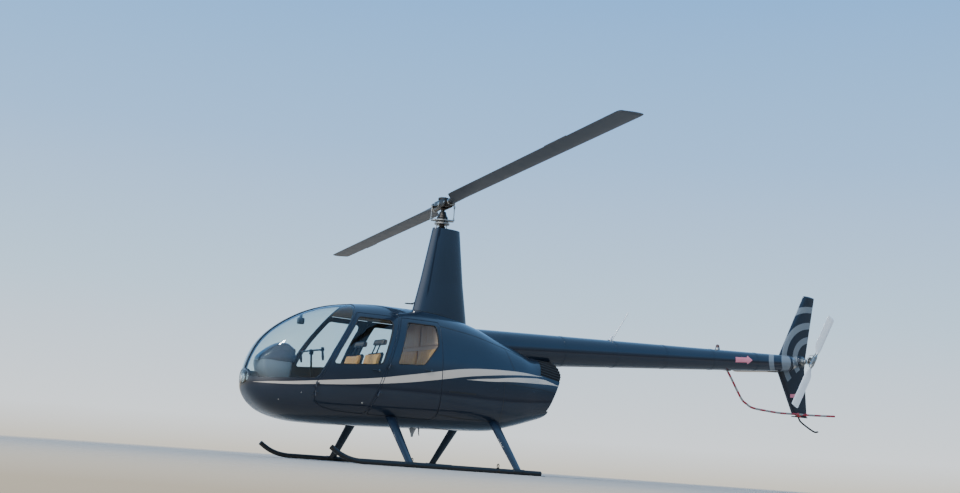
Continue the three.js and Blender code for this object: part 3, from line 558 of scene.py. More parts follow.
def bodyPoints(inset):
    runs = np.linspace(0, bodyRun[-1], body["rings"])
    x = body["noseX"] + runs ** 2
    halfWidth, top, widest, bottom = sectionAt(x)
    turn = 2 * np.pi * (np.arange(body["sides"]) + .5) / body["sides"]
    up = np.sin(turn) > 0
    power = 2 / np.where(up, body["upperPower"], body["lowerPower"])
    across = np.sign(np.cos(turn)) * np.abs(np.cos(turn)) ** power
    rise = np.sign(np.sin(turn)) * np.abs(np.sin(turn)) ** power
    height = np.where(up, (top - widest)[:, None], (widest - bottom)[:, None]) * np.ones(len(turn))
    points = np.stack([np.repeat(x[:, None], len(turn), 1), halfWidth[:, None] * across[None],
                       widest[:, None] + height * rise[None]], axis=2).reshape(-1, 3)
    if inset:
        points = points - bodyNormals(points) * inset
    return points


def bodyObject(name, inset):
    return meshObject(name, bodyPoints(inset), ringFaces(body["rings"], body["sides"]), shift=False)


# an outline in x and z, or in y and z, drawn out along the other axis
def prism(name, outline, low, high, axis="Y"):
    count = len(outline)
    if axis == "Y":
        points = [(a, low, b) for a, b in outline] + [(a, high, b) for a, b in outline]
    else:
        points = [(low, a, b) for a, b in outline] + [(high, a, b) for a, b in outline]
    faces = [tuple(range(count))[::-1], tuple(range(count, 2 * count))]
    faces += [(i, (i + 1) % count, (i + 1) % count + count, i + count) for i in range(count)]
    piece = meshObject(name, points, faces, shift=False)
    outward(piece)
    return piece


def block(x0, x1, y0, y1, z0, z1):
    return prism("block", [(x0, z0), (x1, z0), (x1, z1), (x0, z1)], y0, y1)


def applied(piece):  # puts what the modifiers make into the mesh
    made = bpy.data.meshes.new_from_object(piece.evaluated_get(bpy.context.evaluated_depsgraph_get()))
    made.materials.clear()
    piece.modifiers.clear()
    old, piece.data = piece.data, made
    bpy.data.meshes.remove(old)
    return piece


def combine(piece, other, operation, keep=False):
    modifier = piece.modifiers.new("cut", "BOOLEAN")
    modifier.object, modifier.operation, modifier.solver = other, operation, "MANIFOLD"
    applied(piece)
    if not keep:
        bpy.data.objects.remove(other)
    return piece


def carved(piece, other, keep=False):
    return combine(piece, other, "DIFFERENCE", keep)


def shared(piece, other, keep=False):
    return combine(piece, other, "INTERSECT", keep)


def copied(piece, name="copy"):
    return linked(bpy.data.objects.new(name, piece.data.copy()))


def mirrored(piece, name):
    other = copied(piece, name)
    other.data.transform(Matrix.Scale(-1, 4, (0, 1, 0)))
    other.data.flip_normals()
    return other


def evenLoop(corners, spacing=.015):
    out = []
    spots = [Vector(c) for c in corners]
    for i, spot in enumerate(spots):
        after = spots[(i + 1) % len(spots)]
        steps = max(1, round((after - spot).length / spacing))
        out += [spot.lerp(after, k / steps) for k in range(steps)]
    return out


def rounded(outline, radius, steps=7):
    out = []
    count = len(outline)
    for i, corner in enumerate(outline):
        here = Vector(corner)
        before, after = Vector(outline[i - 1]) - here, Vector(outline[(i + 1) % count]) - here
        reach = min(radius, before.length * .49, after.length * .49)
        a, b = here + before.normalized() * reach, here + after.normalized() * reach
        for k in range(steps + 1):
            t = k / steps
            out.append(tuple(a * (1 - t) ** 2 + here * 2 * t * (1 - t) + b * t * t))
    return out


def grown(outline, distance):
    spots = [Vector(p) for p in outline]
    count = len(spots)
    area = sum(spots[i].x * spots[(i + 1) % count].y - spots[(i + 1) % count].x * spots[i].y
               for i in range(count))
    side = math.copysign(distance, area)
    out = []
    for i in range(count):
        a = (spots[i] - spots[i - 1]).normalized()
        b = (spots[(i + 1) % count] - spots[i]).normalized()
        normalA, normalB = Vector((a.y, -a.x)), Vector((b.y, -b.x))
        middle = (normalA + normalB).normalized()
        out.append(tuple(spots[i] + middle * side / max(middle.dot(normalA), .3)))
    return out


outlines = {  # x and z on the side of the body
    "windshield": [(-2.5, .868), (-2.3, .868), (-2.17, .87), (-1.975, .883), (-1.766, .899), (-1.7, .906),
                   (-1.672, .925), (-1.65, .96), (-1.582, 1.094), (-1.508, 1.244), (-1.418, 1.398),
                   (-1.318, 1.558), (-1.218, 1.724), (-1.184, 1.791), (-1.17, 1.825), (-1.17, 1.95),
                   (-2.5, 1.95)],
    "frontDoor": [(-1.552, 1.094), (-1.62, .953), (-1.69, .85), (-1.69, .7), (-1.672, .648), (-1.6, .604),
                  (-1.5, .58), (-1.4, .568), (-1.23, .562), (-1.071, .56), (-.688, 1.7), (-1.202, 1.7),
                  (-1.288, 1.558), (-1.388, 1.398), (-1.478, 1.244)],
    "rearDoor": [(-1.034, .56), (-.215, .56), (-.172, .6), (-.166, 1.7), (-.652, 1.7)],
    "frontWindow": [(-1.508, 1.104), (-1.498, 1.082), (-1.47, 1.08), (-1.332, 1.09), (-1.069, 1.113),
                    (-.96, 1.125), (-.925, 1.15), (-.775, 1.605), (-.8, 1.655), (-1.175, 1.655),
                    (-1.2, 1.638), (-1.25, 1.558), (-1.352, 1.398), (-1.442, 1.244)],
    "rearWindow": [(-.745, 1.145), (-.41, 1.168), (-.385, 1.185), (-.22, 1.4), (-.205, 1.43), (-.205, 1.635),
                   (-.225, 1.655), (-.57, 1.655), (-.59, 1.64)],
    "grille": [(1.325, 1.222), (1.625, 1.166), (1.8, 1.15), (1.8, 1.52), (1.392, 1.52), (1.388, 1.433)],
}
walls = {"door": .03, "gap": .008, "pocket": .038, "cowl": .025, "glassInset": .008, "glass": .005,
         "strip": .022, "seat": .0003, "floor": .6, "cabinEnd": -.16, "roofFront": -1.17}


def tableOf(parts, field, width=3, kind=float):  # one field of a mesh's parts, as a table
    values = np.empty(len(parts) * width, kind)
    parts.foreach_get(field, values)
    return values.reshape(-1, width) if width > 1 else values


# smooth normals and the inner faces' material
def dressSkin(piece, innerSlot=None, floorSlot=None, edgeSlot=0):
    mesh = piece.data
    smooth = bodyNormals(tableOf(mesh.vertices, "co"))
    faceNormals, middles = tableOf(mesh.polygons, "normal"), tableOf(mesh.polygons, "center")
    owner = np.repeat(np.arange(len(mesh.polygons)), tableOf(mesh.polygons, "loop_total", 1, int))
    loopSmooth, loopFace = smooth[tableOf(mesh.loops, "vertex_index", 1, int)], faceNormals[owner]
    lean = (loopSmooth * loopFace).sum(1)
    normals = np.where((lean < -.86)[:, None], -loopSmooth, loopFace)
    normals = np.where((lean > .86)[:, None], loopSmooth, normals)
    mesh.shade_smooth()
    slots = np.zeros(len(mesh.polygons), int)
    if innerSlot is not None:
        faceLean = (bodyNormals(middles) * faceNormals).sum(1)
        slots[faceLean < -.5] = innerSlot
        level = (np.abs(faceNormals[:, 1]) < 1e-4) & (np.abs(middles[:, 1]) > .02)
        slots[(np.abs(faceLean) < .5) | level] = edgeSlot
    if floorSlot is not None:
        slots[(faceNormals[:, 2] > .95) & (np.abs(middles[:, 2] - walls["floor"]) < .002)] = floorSlot
    mesh.polygons.foreach_set("material_index", slots)
    mesh.normals_split_custom_set(normals.tolist())
    toFrame(piece)


def skinPiece(piece, name, materials, node, body="airframe", innerSlot=None,
              floorSlot=None):
    piece.name = name
    if innerSlot is not None:
        materials = materials + [edgePaint]
    dressSkin(piece, innerSlot, floorSlot, len(materials) - 1)
    return finishPiece(piece, materials, node, body, None)


stage("body form ready")

outer = bodyObject("outer", 0)
inner = bodyObject("inner", walls["door"])
wall = carved(copied(outer), inner)


def rearCut(inset):
    face = rounded(body["rearFace"] + [(2.5, 1.5), (2.5, 0)], .03, 5)
    return prism("rearCut", [(x - inset if x < 2.4 else x, z) for x, z in face], -2, 2)


def sideCut(outline):  # through the port side's skin
    return prism("sideCut", outline, -.72, -.13)


def cutBoth(piece, cutter):
    other = mirrored(cutter, "mirror")
    carved(piece, cutter)
    return carved(piece, other)


corners = {"frontDoor": (.03,), "rearDoor": (.02,), "frontWindow": (.03,), "rearWindow": (.035,),
           "windshield": (.02, 3)}  # radius, and the number of steps where it isn't the usual one
outlineOf = {name: rounded(outlines[name], *values) for name, values in corners.items()}
pocketInner = bodyObject("pocketInner", walls["pocket"])
pocket = carved(bodyObject("pocket", -.03), pocketInner)
doorCuts = {}
for doorName in ("frontDoor", "rearDoor"):
    cut = sideCut(grown(outlineOf[doorName], walls["gap"]))
    doorCuts[doorName] = shared(cut, pocket, keep=True)
stage("door pockets cut")


def cutDoors(piece):
    for doorName in ("frontDoor", "rearDoor"):
        cutBoth(piece, copied(doorCuts[doorName]))
    return piece


lamps = {"halfY": .15, "halfZ": .08, "z": .863, "rim": .022, "radius": .05, "spread": .086}


def ovalOutline(extra):
    return [((lamps["halfY"] + extra) * x, lamps["z"] + (lamps["halfZ"] + extra) * y)
            for x, y in circle(48)]


def lampPrism(extra):
    return prism("lampOval", ovalOutline(extra), -2.6, -2.29, axis="X")


def windshieldPrism(name, extra, strip, rimGap):
    outline = grown(outlineOf["windshield"], extra) if extra else outlineOf["windshield"]
    pane = prism(name, outline, -.9, -strip)
    return carved(pane, lampPrism(lamps["rim"] + rimGap))


def cabinZone(low, high):
    return block(-2.6, walls["cabinEnd"] - walls["seat"], -.9, .9, low, high)


def cabinShell():
    shell = shared(copied(wall), cabinZone(walls["floor"] + walls["seat"], 2.1))
    cutDoors(shell)
    return cutBoth(shell, windshieldPrism("cut", 0, walls["strip"], 0))


def buildCabinShell():
    shell = cabinShell()
    belly = shared(copied(outer), cabinZone(0, walls["floor"]))
    cutDoors(belly)
    skinPiece(belly, "bellySkin", [bodyEnamel, trimPlastic, carpet], "belly", innerSlot=1, floorSlot=2)
    roofZone = block(walls["roofFront"], walls["cabinEnd"], -.9, .9, 1.706, 2.1)
    for low, high in ((-.9, -.06), (.06, .9)):
        combine(roofZone, block(-1.3, walls["roofFront"] + .001, low, high, 1.706, 2.1), "UNION")
    roof = shared(copied(shell), roofZone)
    skinPiece(roof, "roofSkin", [bodyEnamel, headliner], "roof", innerSlot=1)
    strip = shared(copied(shell), block(-2.6, walls["roofFront"] - walls["seat"], -.06, .06, .8683, 2.1))
    carved(strip, lampPrism(lamps["rim"] + walls["seat"]))
    skinPiece(strip, "windshieldStrip", [stripPaint, trimPlastic], "windshield_strip", innerSlot=1)
    noseZone = prism("noseZone", [(-2.6, .6003), (-1.5, .6003), (-1.5, .925), (-2.1, .925), (-2.1, .868),
                                  (-2.6, .868)], -.9, .9)
    combine(noseZone, lampPrism(lamps["rim"]), "UNION")
    nose = shared(copied(shell), noseZone)
    carved(nose, lampPrism(0))
    skinPiece(nose, "noseSkin", [bodyEnamel, trimPlastic], "nose_panel", innerSlot=1)
    postZone = block(-2.1, -1.15, -.9, -.0603, .9253, 1.7057)
    midZone = block(-1.15, -.56, -.9, 0, .6003, 1.7057)
    for zone, name, node in ((postZone, "frontPost", "front_post"), (midZone, "middlePost", "middle_post")):
        post = shared(copied(shell), zone)
        other = mirrored(post, name + "Right")
        skinPiece(post, name + "Left", [bodyEnamel, trimPlastic], node + "_left", innerSlot=1)
        skinPiece(other, name + "Right", [bodyEnamel, trimPlastic], node + "_right", innerSlot=1)
    bpy.data.objects.remove(shell)


buildCabinShell()
stage("cabin shell built")

glassInner = bodyObject("glassInner", walls["glassInset"] + walls["glass"])
glassLayer = carved(bodyObject("glassLayer", walls["glassInset"]), glassInner)


def surfaceRun(outline, inset, side=-1):  # an outline laid on the skin, evenly spaced
    spots = [Vector((x, z)) for x, z in outline]
    out = []
    for i, spot in enumerate(spots):
        after = spots[(i + 1) % len(spots)]
        steps = max(1, int((after - spot).length / .02))
        for k in range(steps):
            at = spot.lerp(after, k / steps)
            out.append((at.x, side * float(sideY(at.x, at.y)), at.y))
    points = np.array(out)
    points = points - bodyNormals(points) * inset
    return [Vector(p) for p in points]


def windowSeal(name, outline, body, side):
    shape = Shape()
    shape.tube(surfaceRun(grown(outline, .001), .004, side), .0065, 8, closedRun=True)
    return pieceFrom(name, shape, [rubber], body=body)


def doorSeal(name, outline, side):  # closes the gap round a door, just under the skin
    shape = Shape()
    shape.tube(surfaceRun(grown(outline, walls["gap"] / 2), .0048, side), .0036, 8, closedRun=True)
    return pieceFrom(name, shape, [sealRubber])


def buildWindshields():
    pane = windshieldPrism("pane", -.0006, walls["strip"] + .0006, .0006)
    glass = shared(pane, glassLayer, keep=True)
    other = mirrored(glass, "windshieldRight")
    for piece, side in ((glass, "left"), (other, "right")):
        skinPiece(piece, f"windshieldPane_{side}", [acrylic], f"windshield_{side}")


buildWindshields()
stage("windshields built")


def buildDoors():
    doors = (("frontDoor", "front_door", "frontWindow"), ("rearDoor", "rear_door", "rearWindow"))
    for doorName, node, windowName in doors:
        door = shared(sideCut(outlineOf[doorName]), wall, keep=True)
        carved(door, sideCut(outlineOf[windowName]))
        glass = shared(sideCut(grown(outlineOf[windowName], -.0006)), glassLayer, keep=True)
        doorRight, glassRight = mirrored(door, "door"), mirrored(glass, "glass")
        place = node.split("_")[0]
        for piece, pane, side, sign in ((door, glass, "left", -1), (doorRight, glassRight, "right", 1)):
            bodyName = f"{place}_{side}_door"
            skinPiece(piece, f"{doorName}_{side}", [bodyEnamel, trimPlastic], f"{node}_{side}",
                      body=bodyName, innerSlot=1)
            skinPiece(pane, f"{windowName}Pane_{side}", [acrylic], f"{node}_window_{side}",
                      body=bodyName)
            windowSeal(f"{windowName}Seal_{side}", outlineOf[windowName], bodyName, sign)
            doorSeal(f"{doorName}Seal_{side}", outlineOf[doorName], sign)


buildDoors()
stage("doors built")

boom = {"startX": .5, "endX": 5.72, "startZ": 1.508, "endZ": 1.821, "startRadius": .225, "endRadius": .114,
        "bulkheads": [1.8, 2.62, 3.44, 4.26, 5.05]}


def boomAt(x):
    share = (x - boom["startX"]) / (boom["endX"] - boom["startX"])
    return (boom["startZ"] + (boom["endZ"] - boom["startZ"]) * share,
            boom["startRadius"] + (boom["endRadius"] - boom["startRadius"]) * share)


def boomRing(x, extra=0.0):
    z, radius = boomAt(x)
    return [(x, (radius + extra) * across, z + (radius + extra) * up) for across, up in circle(96)]


def boomHole():  # what the boom takes out of the cowl and the grille
    gap = walls["seat"]
    return meshObject("boomHole", boomRing(.42, gap) + boomRing(2.2, gap), ringFaces(2, 96), shift=False)


def buildAftBody():
    hollow = carved(bodyObject("hollow", walls["cowl"]), rearCut(walls["cowl"]))
    shell = carved(carved(copied(outer), rearCut(0)), hollow)
    shared(shell, block(walls["cabinEnd"], 2.6, -.9, .9, 0, 2.1))
    carved(shell, boomHole())
    carved(shell, prism("grilleZone", outlines["grille"], -.9, .9))
    skinPiece(shell, "cowlSkin", [bodyEnamel, trimPlastic], "engine_cowl", innerSlot=1)


buildAftBody()
for spare in (outer, wall, pocket, glassLayer, *doorCuts.values()):
    bpy.data.objects.remove(spare)
stage("engine cowl built")


# Tail boom: riveted aluminium skins, lapped where two meet
def buildBoom():
    shape = Shape()
    stops = np.linspace(boom["startX"] + .02, boom["endX"], 90)
    rings = [p for x in stops for p in boomRing(x)]
    shape.add(rings, ringFaces(len(stops), 96))
    pieceFrom("tailBoomSkin", shape, [finEnamel], "tailboom")
    laps = Shape()
    for x in boom["bulkheads"]:
        z, radius = boomAt(x)
        profile = [(0, -.002), (0, .0012), (.004, .0016), (.045, .0008), (.046, -.004)]
        laps.turn([(run, radius + lift) for run, lift in profile], (x, 0, z), (1, 0, .06), 96)
    pieceFrom("boomLaps", laps, [plainEnamel])
    rivets = Shape()
    for x in boom["bulkheads"]:
        for run in (.01, .034):
            z, radius = boomAt(x + run)
            for across, up in circle(64):
                out = Vector((0, across, up))
                addRivet(rivets, Vector((x + run, 0, z)) + out * (radius + .0012), out)
    for side in (1, -1):  # lengthwise seam, low on each side
        for x in np.arange(1.9, 5.6, .035):
            z, radius = boomAt(x)
            out = Vector((0, side * math.cos(-.9), math.sin(-.9)))
            addRivet(rivets, Vector((x, 0, z)) + out * radius, out)
    pieceFrom("boomRivets", rivets, [plainEnamel], sharpAngle=None)


rivet = {"radius": .0034, "height": .0014, "spacing": .05}


def addRivet(shape, spot, out, slot=0, size=1.0):
    side = out.orthogonal().normalized()
    other = out.cross(side)
    points = []
    for run, reach in ((-.0006, 1.0), (.5, .85), (1.0, .35)):
        middle = spot + out * rivet["height"] * run * size
        points += [middle + (side * x + other * y) * rivet["radius"] * reach * size for x, y in circle(6)]
    shape.add(points, ringFaces(3, 6), slot)


def skinSpot(x, z, side=-1, lift=0.0):
    spot = np.array([[x, side * float(sideY(x, z)), z]])
    normal = bodyNormals(spot)[0]
    return Vector(spot[0] + normal * lift), Vector(normal)


def seamRun(shape, points, side, width=.0035):  # a thin dark line where two panels meet
    spots = []
    for (x0, z0), (x1, z1) in zip(points, points[1:]):
        steps = max(2, int(math.hypot(x1 - x0, z1 - z0) / .03))
        spots += [(x0 + (x1 - x0) * k / steps, z0 + (z1 - z0) * k / steps) for k in range(steps)]
    spots.append(points[-1])
    left, right = [], []
    for i, (x, z) in enumerate(spots):
        ahead = spots[min(i + 1, len(spots) - 1)]
        behind = spots[max(i - 1, 0)]
        run = Vector((ahead[0] - behind[0], ahead[1] - behind[1])).normalized()
        for row, sign in ((left, 1), (right, -1)):
            row.append(skinSpot(x - run.y * width * sign, z + run.x * width * sign, side, .0007)[0])
    count = len(spots)
    shape.add(left + right, [(i, i + 1, count + i + 1, count + i) for i in range(count - 1)])


def rivetRun(shape, points, side):
    for (x0, z0), (x1, z1) in zip(points, points[1:]):
        steps = max(1, round(math.hypot(x1 - x0, z1 - z0) / rivet["spacing"]))
        for k in range(steps):
            addRivet(shape, *skinSpot(x0 + (x1 - x0) * k / steps, z0 + (z1 - z0) * k / steps, side))


# Lines on the cowl's side: x and height
cowlLines = {
    "aftPanel": [(.73, 1.06), (.73, .5)],
    "aftPanelTop": [(.73, 1.06), (1.3, 1.045), (1.55, 1.02)],
    "shoulder": [(-.15, 1.66), (.326, 1.6), (.838, 1.49), (1.3, 1.36)],
    "lowDoor": [(-.15, .62), (.2, .6), (.73, .6)],
    "upperSeam": [(.8, 1.5), (.86, 1.3), (.9, 1.225)],
    "slot": [(-.06, .896), (.32, .896)],
    "fasteners": [(.02, 1.3), (.02, 1.05), (.55, 1.42), (.62, .72), (.62, .98), (1.2, .8), (1.2, 1.0)],
}


def buildCowlDetails():
    lines, rivets = Shape(), Shape()
    for side in (-1, 1):
        for key in ("aftPanel", "aftPanelTop", "shoulder", "lowDoor", "upperSeam"):
            seamRun(lines, cowlLines[key], side)
        seamRun(lines, cowlLines["slot"], side, .01)
        for key, shift in (("aftPanel", (.022, 0)), ("aftPanel", (-.022, 0)), ("shoulder", (0, -.022)),
                           ("lowDoor", (0, -.02))):
            rivetRun(rivets, [(x + shift[0], z + shift[1]) for x, z in cowlLines[key]], side)
        rivetRun(rivets, [(-.135, 1.66), (-.135, .6)], side)
        for x, z in cowlLines["fasteners"]:  # quarter-turn fasteners
            spot, out = skinSpot(x, z, side, -.001)
            lines.turn([(0, .011), (.0018, .011), (.0028, .008)], spot, out, 16, slot=1)
    pieceFrom("cowlSeams", lines, [rubber, plainEnamel])
    pieceFrom("cowlRivets", rivets, [plainEnamel], sharpAngle=None)


# Louvred grille at the top of the rear face, under the boom
grille = {"slots": 7, "lowest": (1.2, 1.247), "step": .036, "slot": .023, "fall": .18,
          "face": (.0005, .0052), "back": (.0055, .02), "border": .014}


def grilleLayer(name, depths, hole):  # the skin between two depths, inside the grille's outline
    outerForm, innerForm = (carved(bodyObject(name, depth), rearCut(depth)) for depth in depths)
    layer = carved(outerForm, innerForm)
    shared(layer, prism("zone", grown(outlines["grille"], -.0004), -.9, .9))
    return carved(layer, hole, keep=True)


def buildGrille():
    hole = boomHole()
    # the back plate is near black: painted shade seen through the slots
    plate = grilleLayer("grillePlate", grille["back"], hole)
    skinPiece(plate, "grillePlate", [louvreShadeBlack], "rear_grille")
    face = grilleLayer("grilleFace", grille["face"], hole)
    for number in range(grille["slots"]):
        x, z = grille["lowest"][0], grille["lowest"][1] + grille["step"] * number
        low, slot = z - (1.9 - x) * grille["fall"], grille["slot"]
        band = prism("band", [(x, z), (1.9, low), (1.9, low + slot), (x, z + slot)], -.9, .9)
        shared(band, prism("inside", grown(outlines["grille"], -grille["border"]), -.91, .91))
        carved(face, band)
    skinPiece(face, "grilleLouvres", [rubber], None)
    bpy.data.objects.remove(hole)


# Lip along the bottom of the slanted rear face
rearLip = {"out": .048, "top": .79, "thickness": .012}


def buildRearLip():
    (x0, z0), (x1, z1) = body["rearFace"][:2]
    slope = (x1 - x0) / (z1 - z0)
    top, out = rearLip["top"], rearLip["out"]
    low, gap = .4, .0004
    atLow, atTop = x0 + slope * low, x0 + slope * top
    zone = prism("lipZone", [(atLow + gap, low), (atLow + out, low), (atTop - slope * .03 + out, top - .03),
                             (atTop + out * .6, top), (atTop + gap, top)], -.9, .9)
    lip = carved(bodyObject("lip", 0), bodyObject("lipIn", rearLip["thickness"]))
    shared(lip, zone)
    skinPiece(lip, "rearLip", [plainEnamel], None)


# Mast fairing: height, front x, rear x, half width
fairing = {"rows": [(1.7, -.345, .452, .118), (2.25, -.235, .352, .096), (2.915, -.12, .255, .074)],
           "sides": 72, "screws": (2.05, 2.35, 2.65, 2.86)}


def fairingSpot(turn, z, inset=0.0):
    heights, *columns = zip(*fairing["rows"])
    front, rear, half = (float(np.interp(z, heights, column)) for column in columns)
    along = (1 - math.cos(turn)) / 2
    y = (half - inset) * math.copysign(abs(math.sin(turn)) ** 1.1, math.sin(turn)) * (1.12 - .35 * along)
    return Vector((front + inset + (rear - front - 2 * inset) * along, y, z)), (front, rear)


def fairingRing(z, inset=0.0):
    return [fairingSpot(2 * math.pi * i / fairing["sides"], z, inset)[0] for i in range(fairing["sides"])]


def fairingNormal(spot):
    front, rear = fairingSpot(0, spot.z)[1]
    turn = math.acos(max(-1, min(1, 1 - 2 * (spot.x - front) / (rear - front)))) * (1 if spot.y > 0 else -1)
    turn = math.copysign(min(max(abs(turn), .02), math.pi - .02), turn)
    across = fairingSpot(turn + .01, spot.z)[0] - fairingSpot(turn - .01, spot.z)[0]
    rise = fairingSpot(turn, spot.z + .01)[0] - fairingSpot(turn, spot.z - .01)[0]
    return across.cross(rise).normalized()


def buildFairing():
    heights = list(np.linspace(1.68, 2.905, 40)) + [2.911, 2.915]
    insets = [0] * 40 + [.002, .008]
    rings = [p for z, inset in zip(heights, insets) for p in fairingRing(z, inset)]
    form = meshObject("fairing", rings, ringFaces(len(heights), fairing["sides"]), shift=False)
    carved(form, bodyObject("roofCut", -.0003))
    form.name = "mastFairingSkin"
    outward(form)
    mesh = form.data
    mesh.shade_smooth()
    normals = []
    for face in mesh.polygons:
        for index in face.vertices:
            smooth = fairingNormal(mesh.vertices[index].co)
            normals.append(smooth if smooth.dot(face.normal) > .8 else face.normal)
    mesh.normals_split_custom_set(normals)
    toFrame(form)
    finishPiece(form, [plainEnamel], "mast_fairing", sharpAngle=None)
    extras = Shape()
    foot, power = [], body["upperPower"]
    for x, y, z in fairingRing(1.76, -.004):
        halfWidth, top, widest, _ = sectionAt(x)
        high = widest + (top - widest) * (1 - (abs(y) / halfWidth) ** power) ** (1 / power)
        foot.append(Vector((x, y, float(high) + .003)))
    extras.tube(foot, .006, 8, closedRun=True)
    for z in fairing["screws"]:  # down both sides
        for i in (25, 47):
            spot = fairingRing(z)[i]
            addRivet(extras, spot, Vector((0, math.copysign(1, spot.y), 0)), 1, 1.6)
    pieceFrom("fairingFoot", extras, [rubber, plainEnamel])


buildBoom()
buildCowlDetails()
buildGrille()
buildRearLip()
buildFairing()
stage("boom, grille and fairing built")


# Main rotor: everything here is laid out with the blades along x, then turned to the parked angle
head = {"teeterZ": 3.215, "azimuth": -98, "arm": .3, "linkX": .045, "linkY": .132, "airfoilSides": 44}
headTurn = Matrix.Rotation(math.radians(head["azimuth"]), 4, "Z")
teeterTurn = headTurn @ Matrix.Translation((0, 0, head["teeterZ"]))


def hexBolt(shape, spot, along, radius=.009, height=.007, slot=0):  # a head on its washer
    profile = [(-.002, radius * 1.35), (.0015, radius * 1.35), (.0015, radius), (height, radius)]
    shape.turn(profile + [(height + .001, radius * .8)], spot, along, 6, slot=slot)


def airfoilHalf(share):  # half thickness along the chord, for a thickness of 1
    tapered = .126 * share + .3516 * share ** 2 - .2843 * share ** 3 + .1036 * share ** 4
    return 5 * (.2969 * math.sqrt(share) - tapered)


def airfoilRing(x, leading, chord, thickness, sides):
    out = []
    for k, (across, up) in enumerate(circle(sides)):
        share = (1 - across) / 2
        half = max(thickness * airfoilHalf(share), .0008)
        out.append((x, leading - chord * share, math.copysign(half, up if k else 1)))
    return out


def filledRows(rows, step):  # the rows, with even ones added between them
    out = []
    for a, b in zip(rows, rows[1:]):
        steps = max(1, int((b[0] - a[0]) / step))
        out += [[a[i] + (b[i] - a[i]) * k / steps for i in range(4)] for k in range(steps)]
    return out + [list(rows[-1])]


def buildBlades():
    rows = [(head["arm"] + .0004, .052, .104, .056), (.36, .055, .108, .052), (.44, .06, .13, .044),
            (.54, .063, .19, .036), (.66, .064, .248, .03), (.8, .064, .254, .028), (4.9, .064, .254, .028),
            (4.98, .063, .252, .027), (5.012, .058, .24, .024), (5.026, .048, .215, .014),
            (5.03, .04, .195, .006)]
    for number, flip in ((1, 0), (2, math.pi)):
        shape = Shape(teeterTurn @ Matrix.Rotation(flip, 4, "Z"))
        stops = filledRows(rows, .12)
        rings = [spot for row in stops for spot in airfoilRing(*row, head["airfoilSides"])]
        shape.add(rings, ringFaces(len(stops), head["airfoilSides"]))
        for x in (.335, .375):
            for y in (.02, -.02):
                hexBolt(shape, (x, y, .025), plusZ, .008, .008, 1)
        trim = [(3.45, -.186, .0012), (3.95, -.186, .0012), (3.95, -.199, .0012), (3.45, -.199, .0012)]
        shape.add(trim + [(x, y, -z) for x, y, z in trim], slabFaces)
        pieceFrom(f"mainBlade_{number}", shape, [bladePaint, brightSteel],
                  f"main_blade_{number}", "main_rotor_head", sharpAngle=40)


def buildHub():
    shape = Shape(teeterTurn)
    for side in (1, -1):
        # cheek plates
        shape.block((-.185, side * .034 - (.026 if side < 0 else 0), -.05),
                    (.185, side * .034 + (.026 if side > 0 else 0), .056), .006)
    for end in (1, -1):
        low, high = sorted((end * .052, end * .165))
        shape.block((low, -.033, -.036), (high, .033, .04), .006)
        arm = [(end * .15, 0, 0), (end * .205, 0, 0), (end * .24, 0, 0), (end * .2995, 0, 0)]
        shape.tube(arm, [.04, .044, .036, .034], 24)
        shape.turn([(0, .02), (0, .027), (.112, .027), (.112, .02)], (end * .185, -.056, 0), plusY, 20)
        for y in (-.058, .058):
            hexBolt(shape, (end * .185, y, 0), (0, math.copysign(1, y), 0), .012, .009, 1)
        collar = [(0, .03), (0, .046), (.014, .048), (.028, .046), (.028, .03)]
        shape.turn(collar, (end * .262, 0, 0), (end, 0, 0), 28, slot=1)
        horn = [(end * .245, end * .036, -.004), (end * .17, end * .078, -.002), (end * .09, end * .108, 0),
                (end * head["linkX"], end * (head["linkY"] - .014), 0)]
        shape.tube(horn, [.017, .014, .012, .011], 12, smooth=4)
    cap = [(0, 0), (0, .062), (.008, .07), (.028, .07), (.033, .062), (.036, 0)]
    shape.turn(cap, (0, 0, .054), plusZ, 28)
    for x, y in circle(6):
        hexBolt(shape, (.05 * x, .05 * y, .0895), plusZ, .005, .004, 1)
    for y in (-.0605, .0605):
        shape.turn([(0, .03), (.008, .03), (.01, .026)], (0, y, 0), (0, y, 0), 24, slot=1)
    pieceFrom("rotorHubAssembly", shape, [darkSteel, brightSteel], "rotor_hub",
              "main_rotor_head")


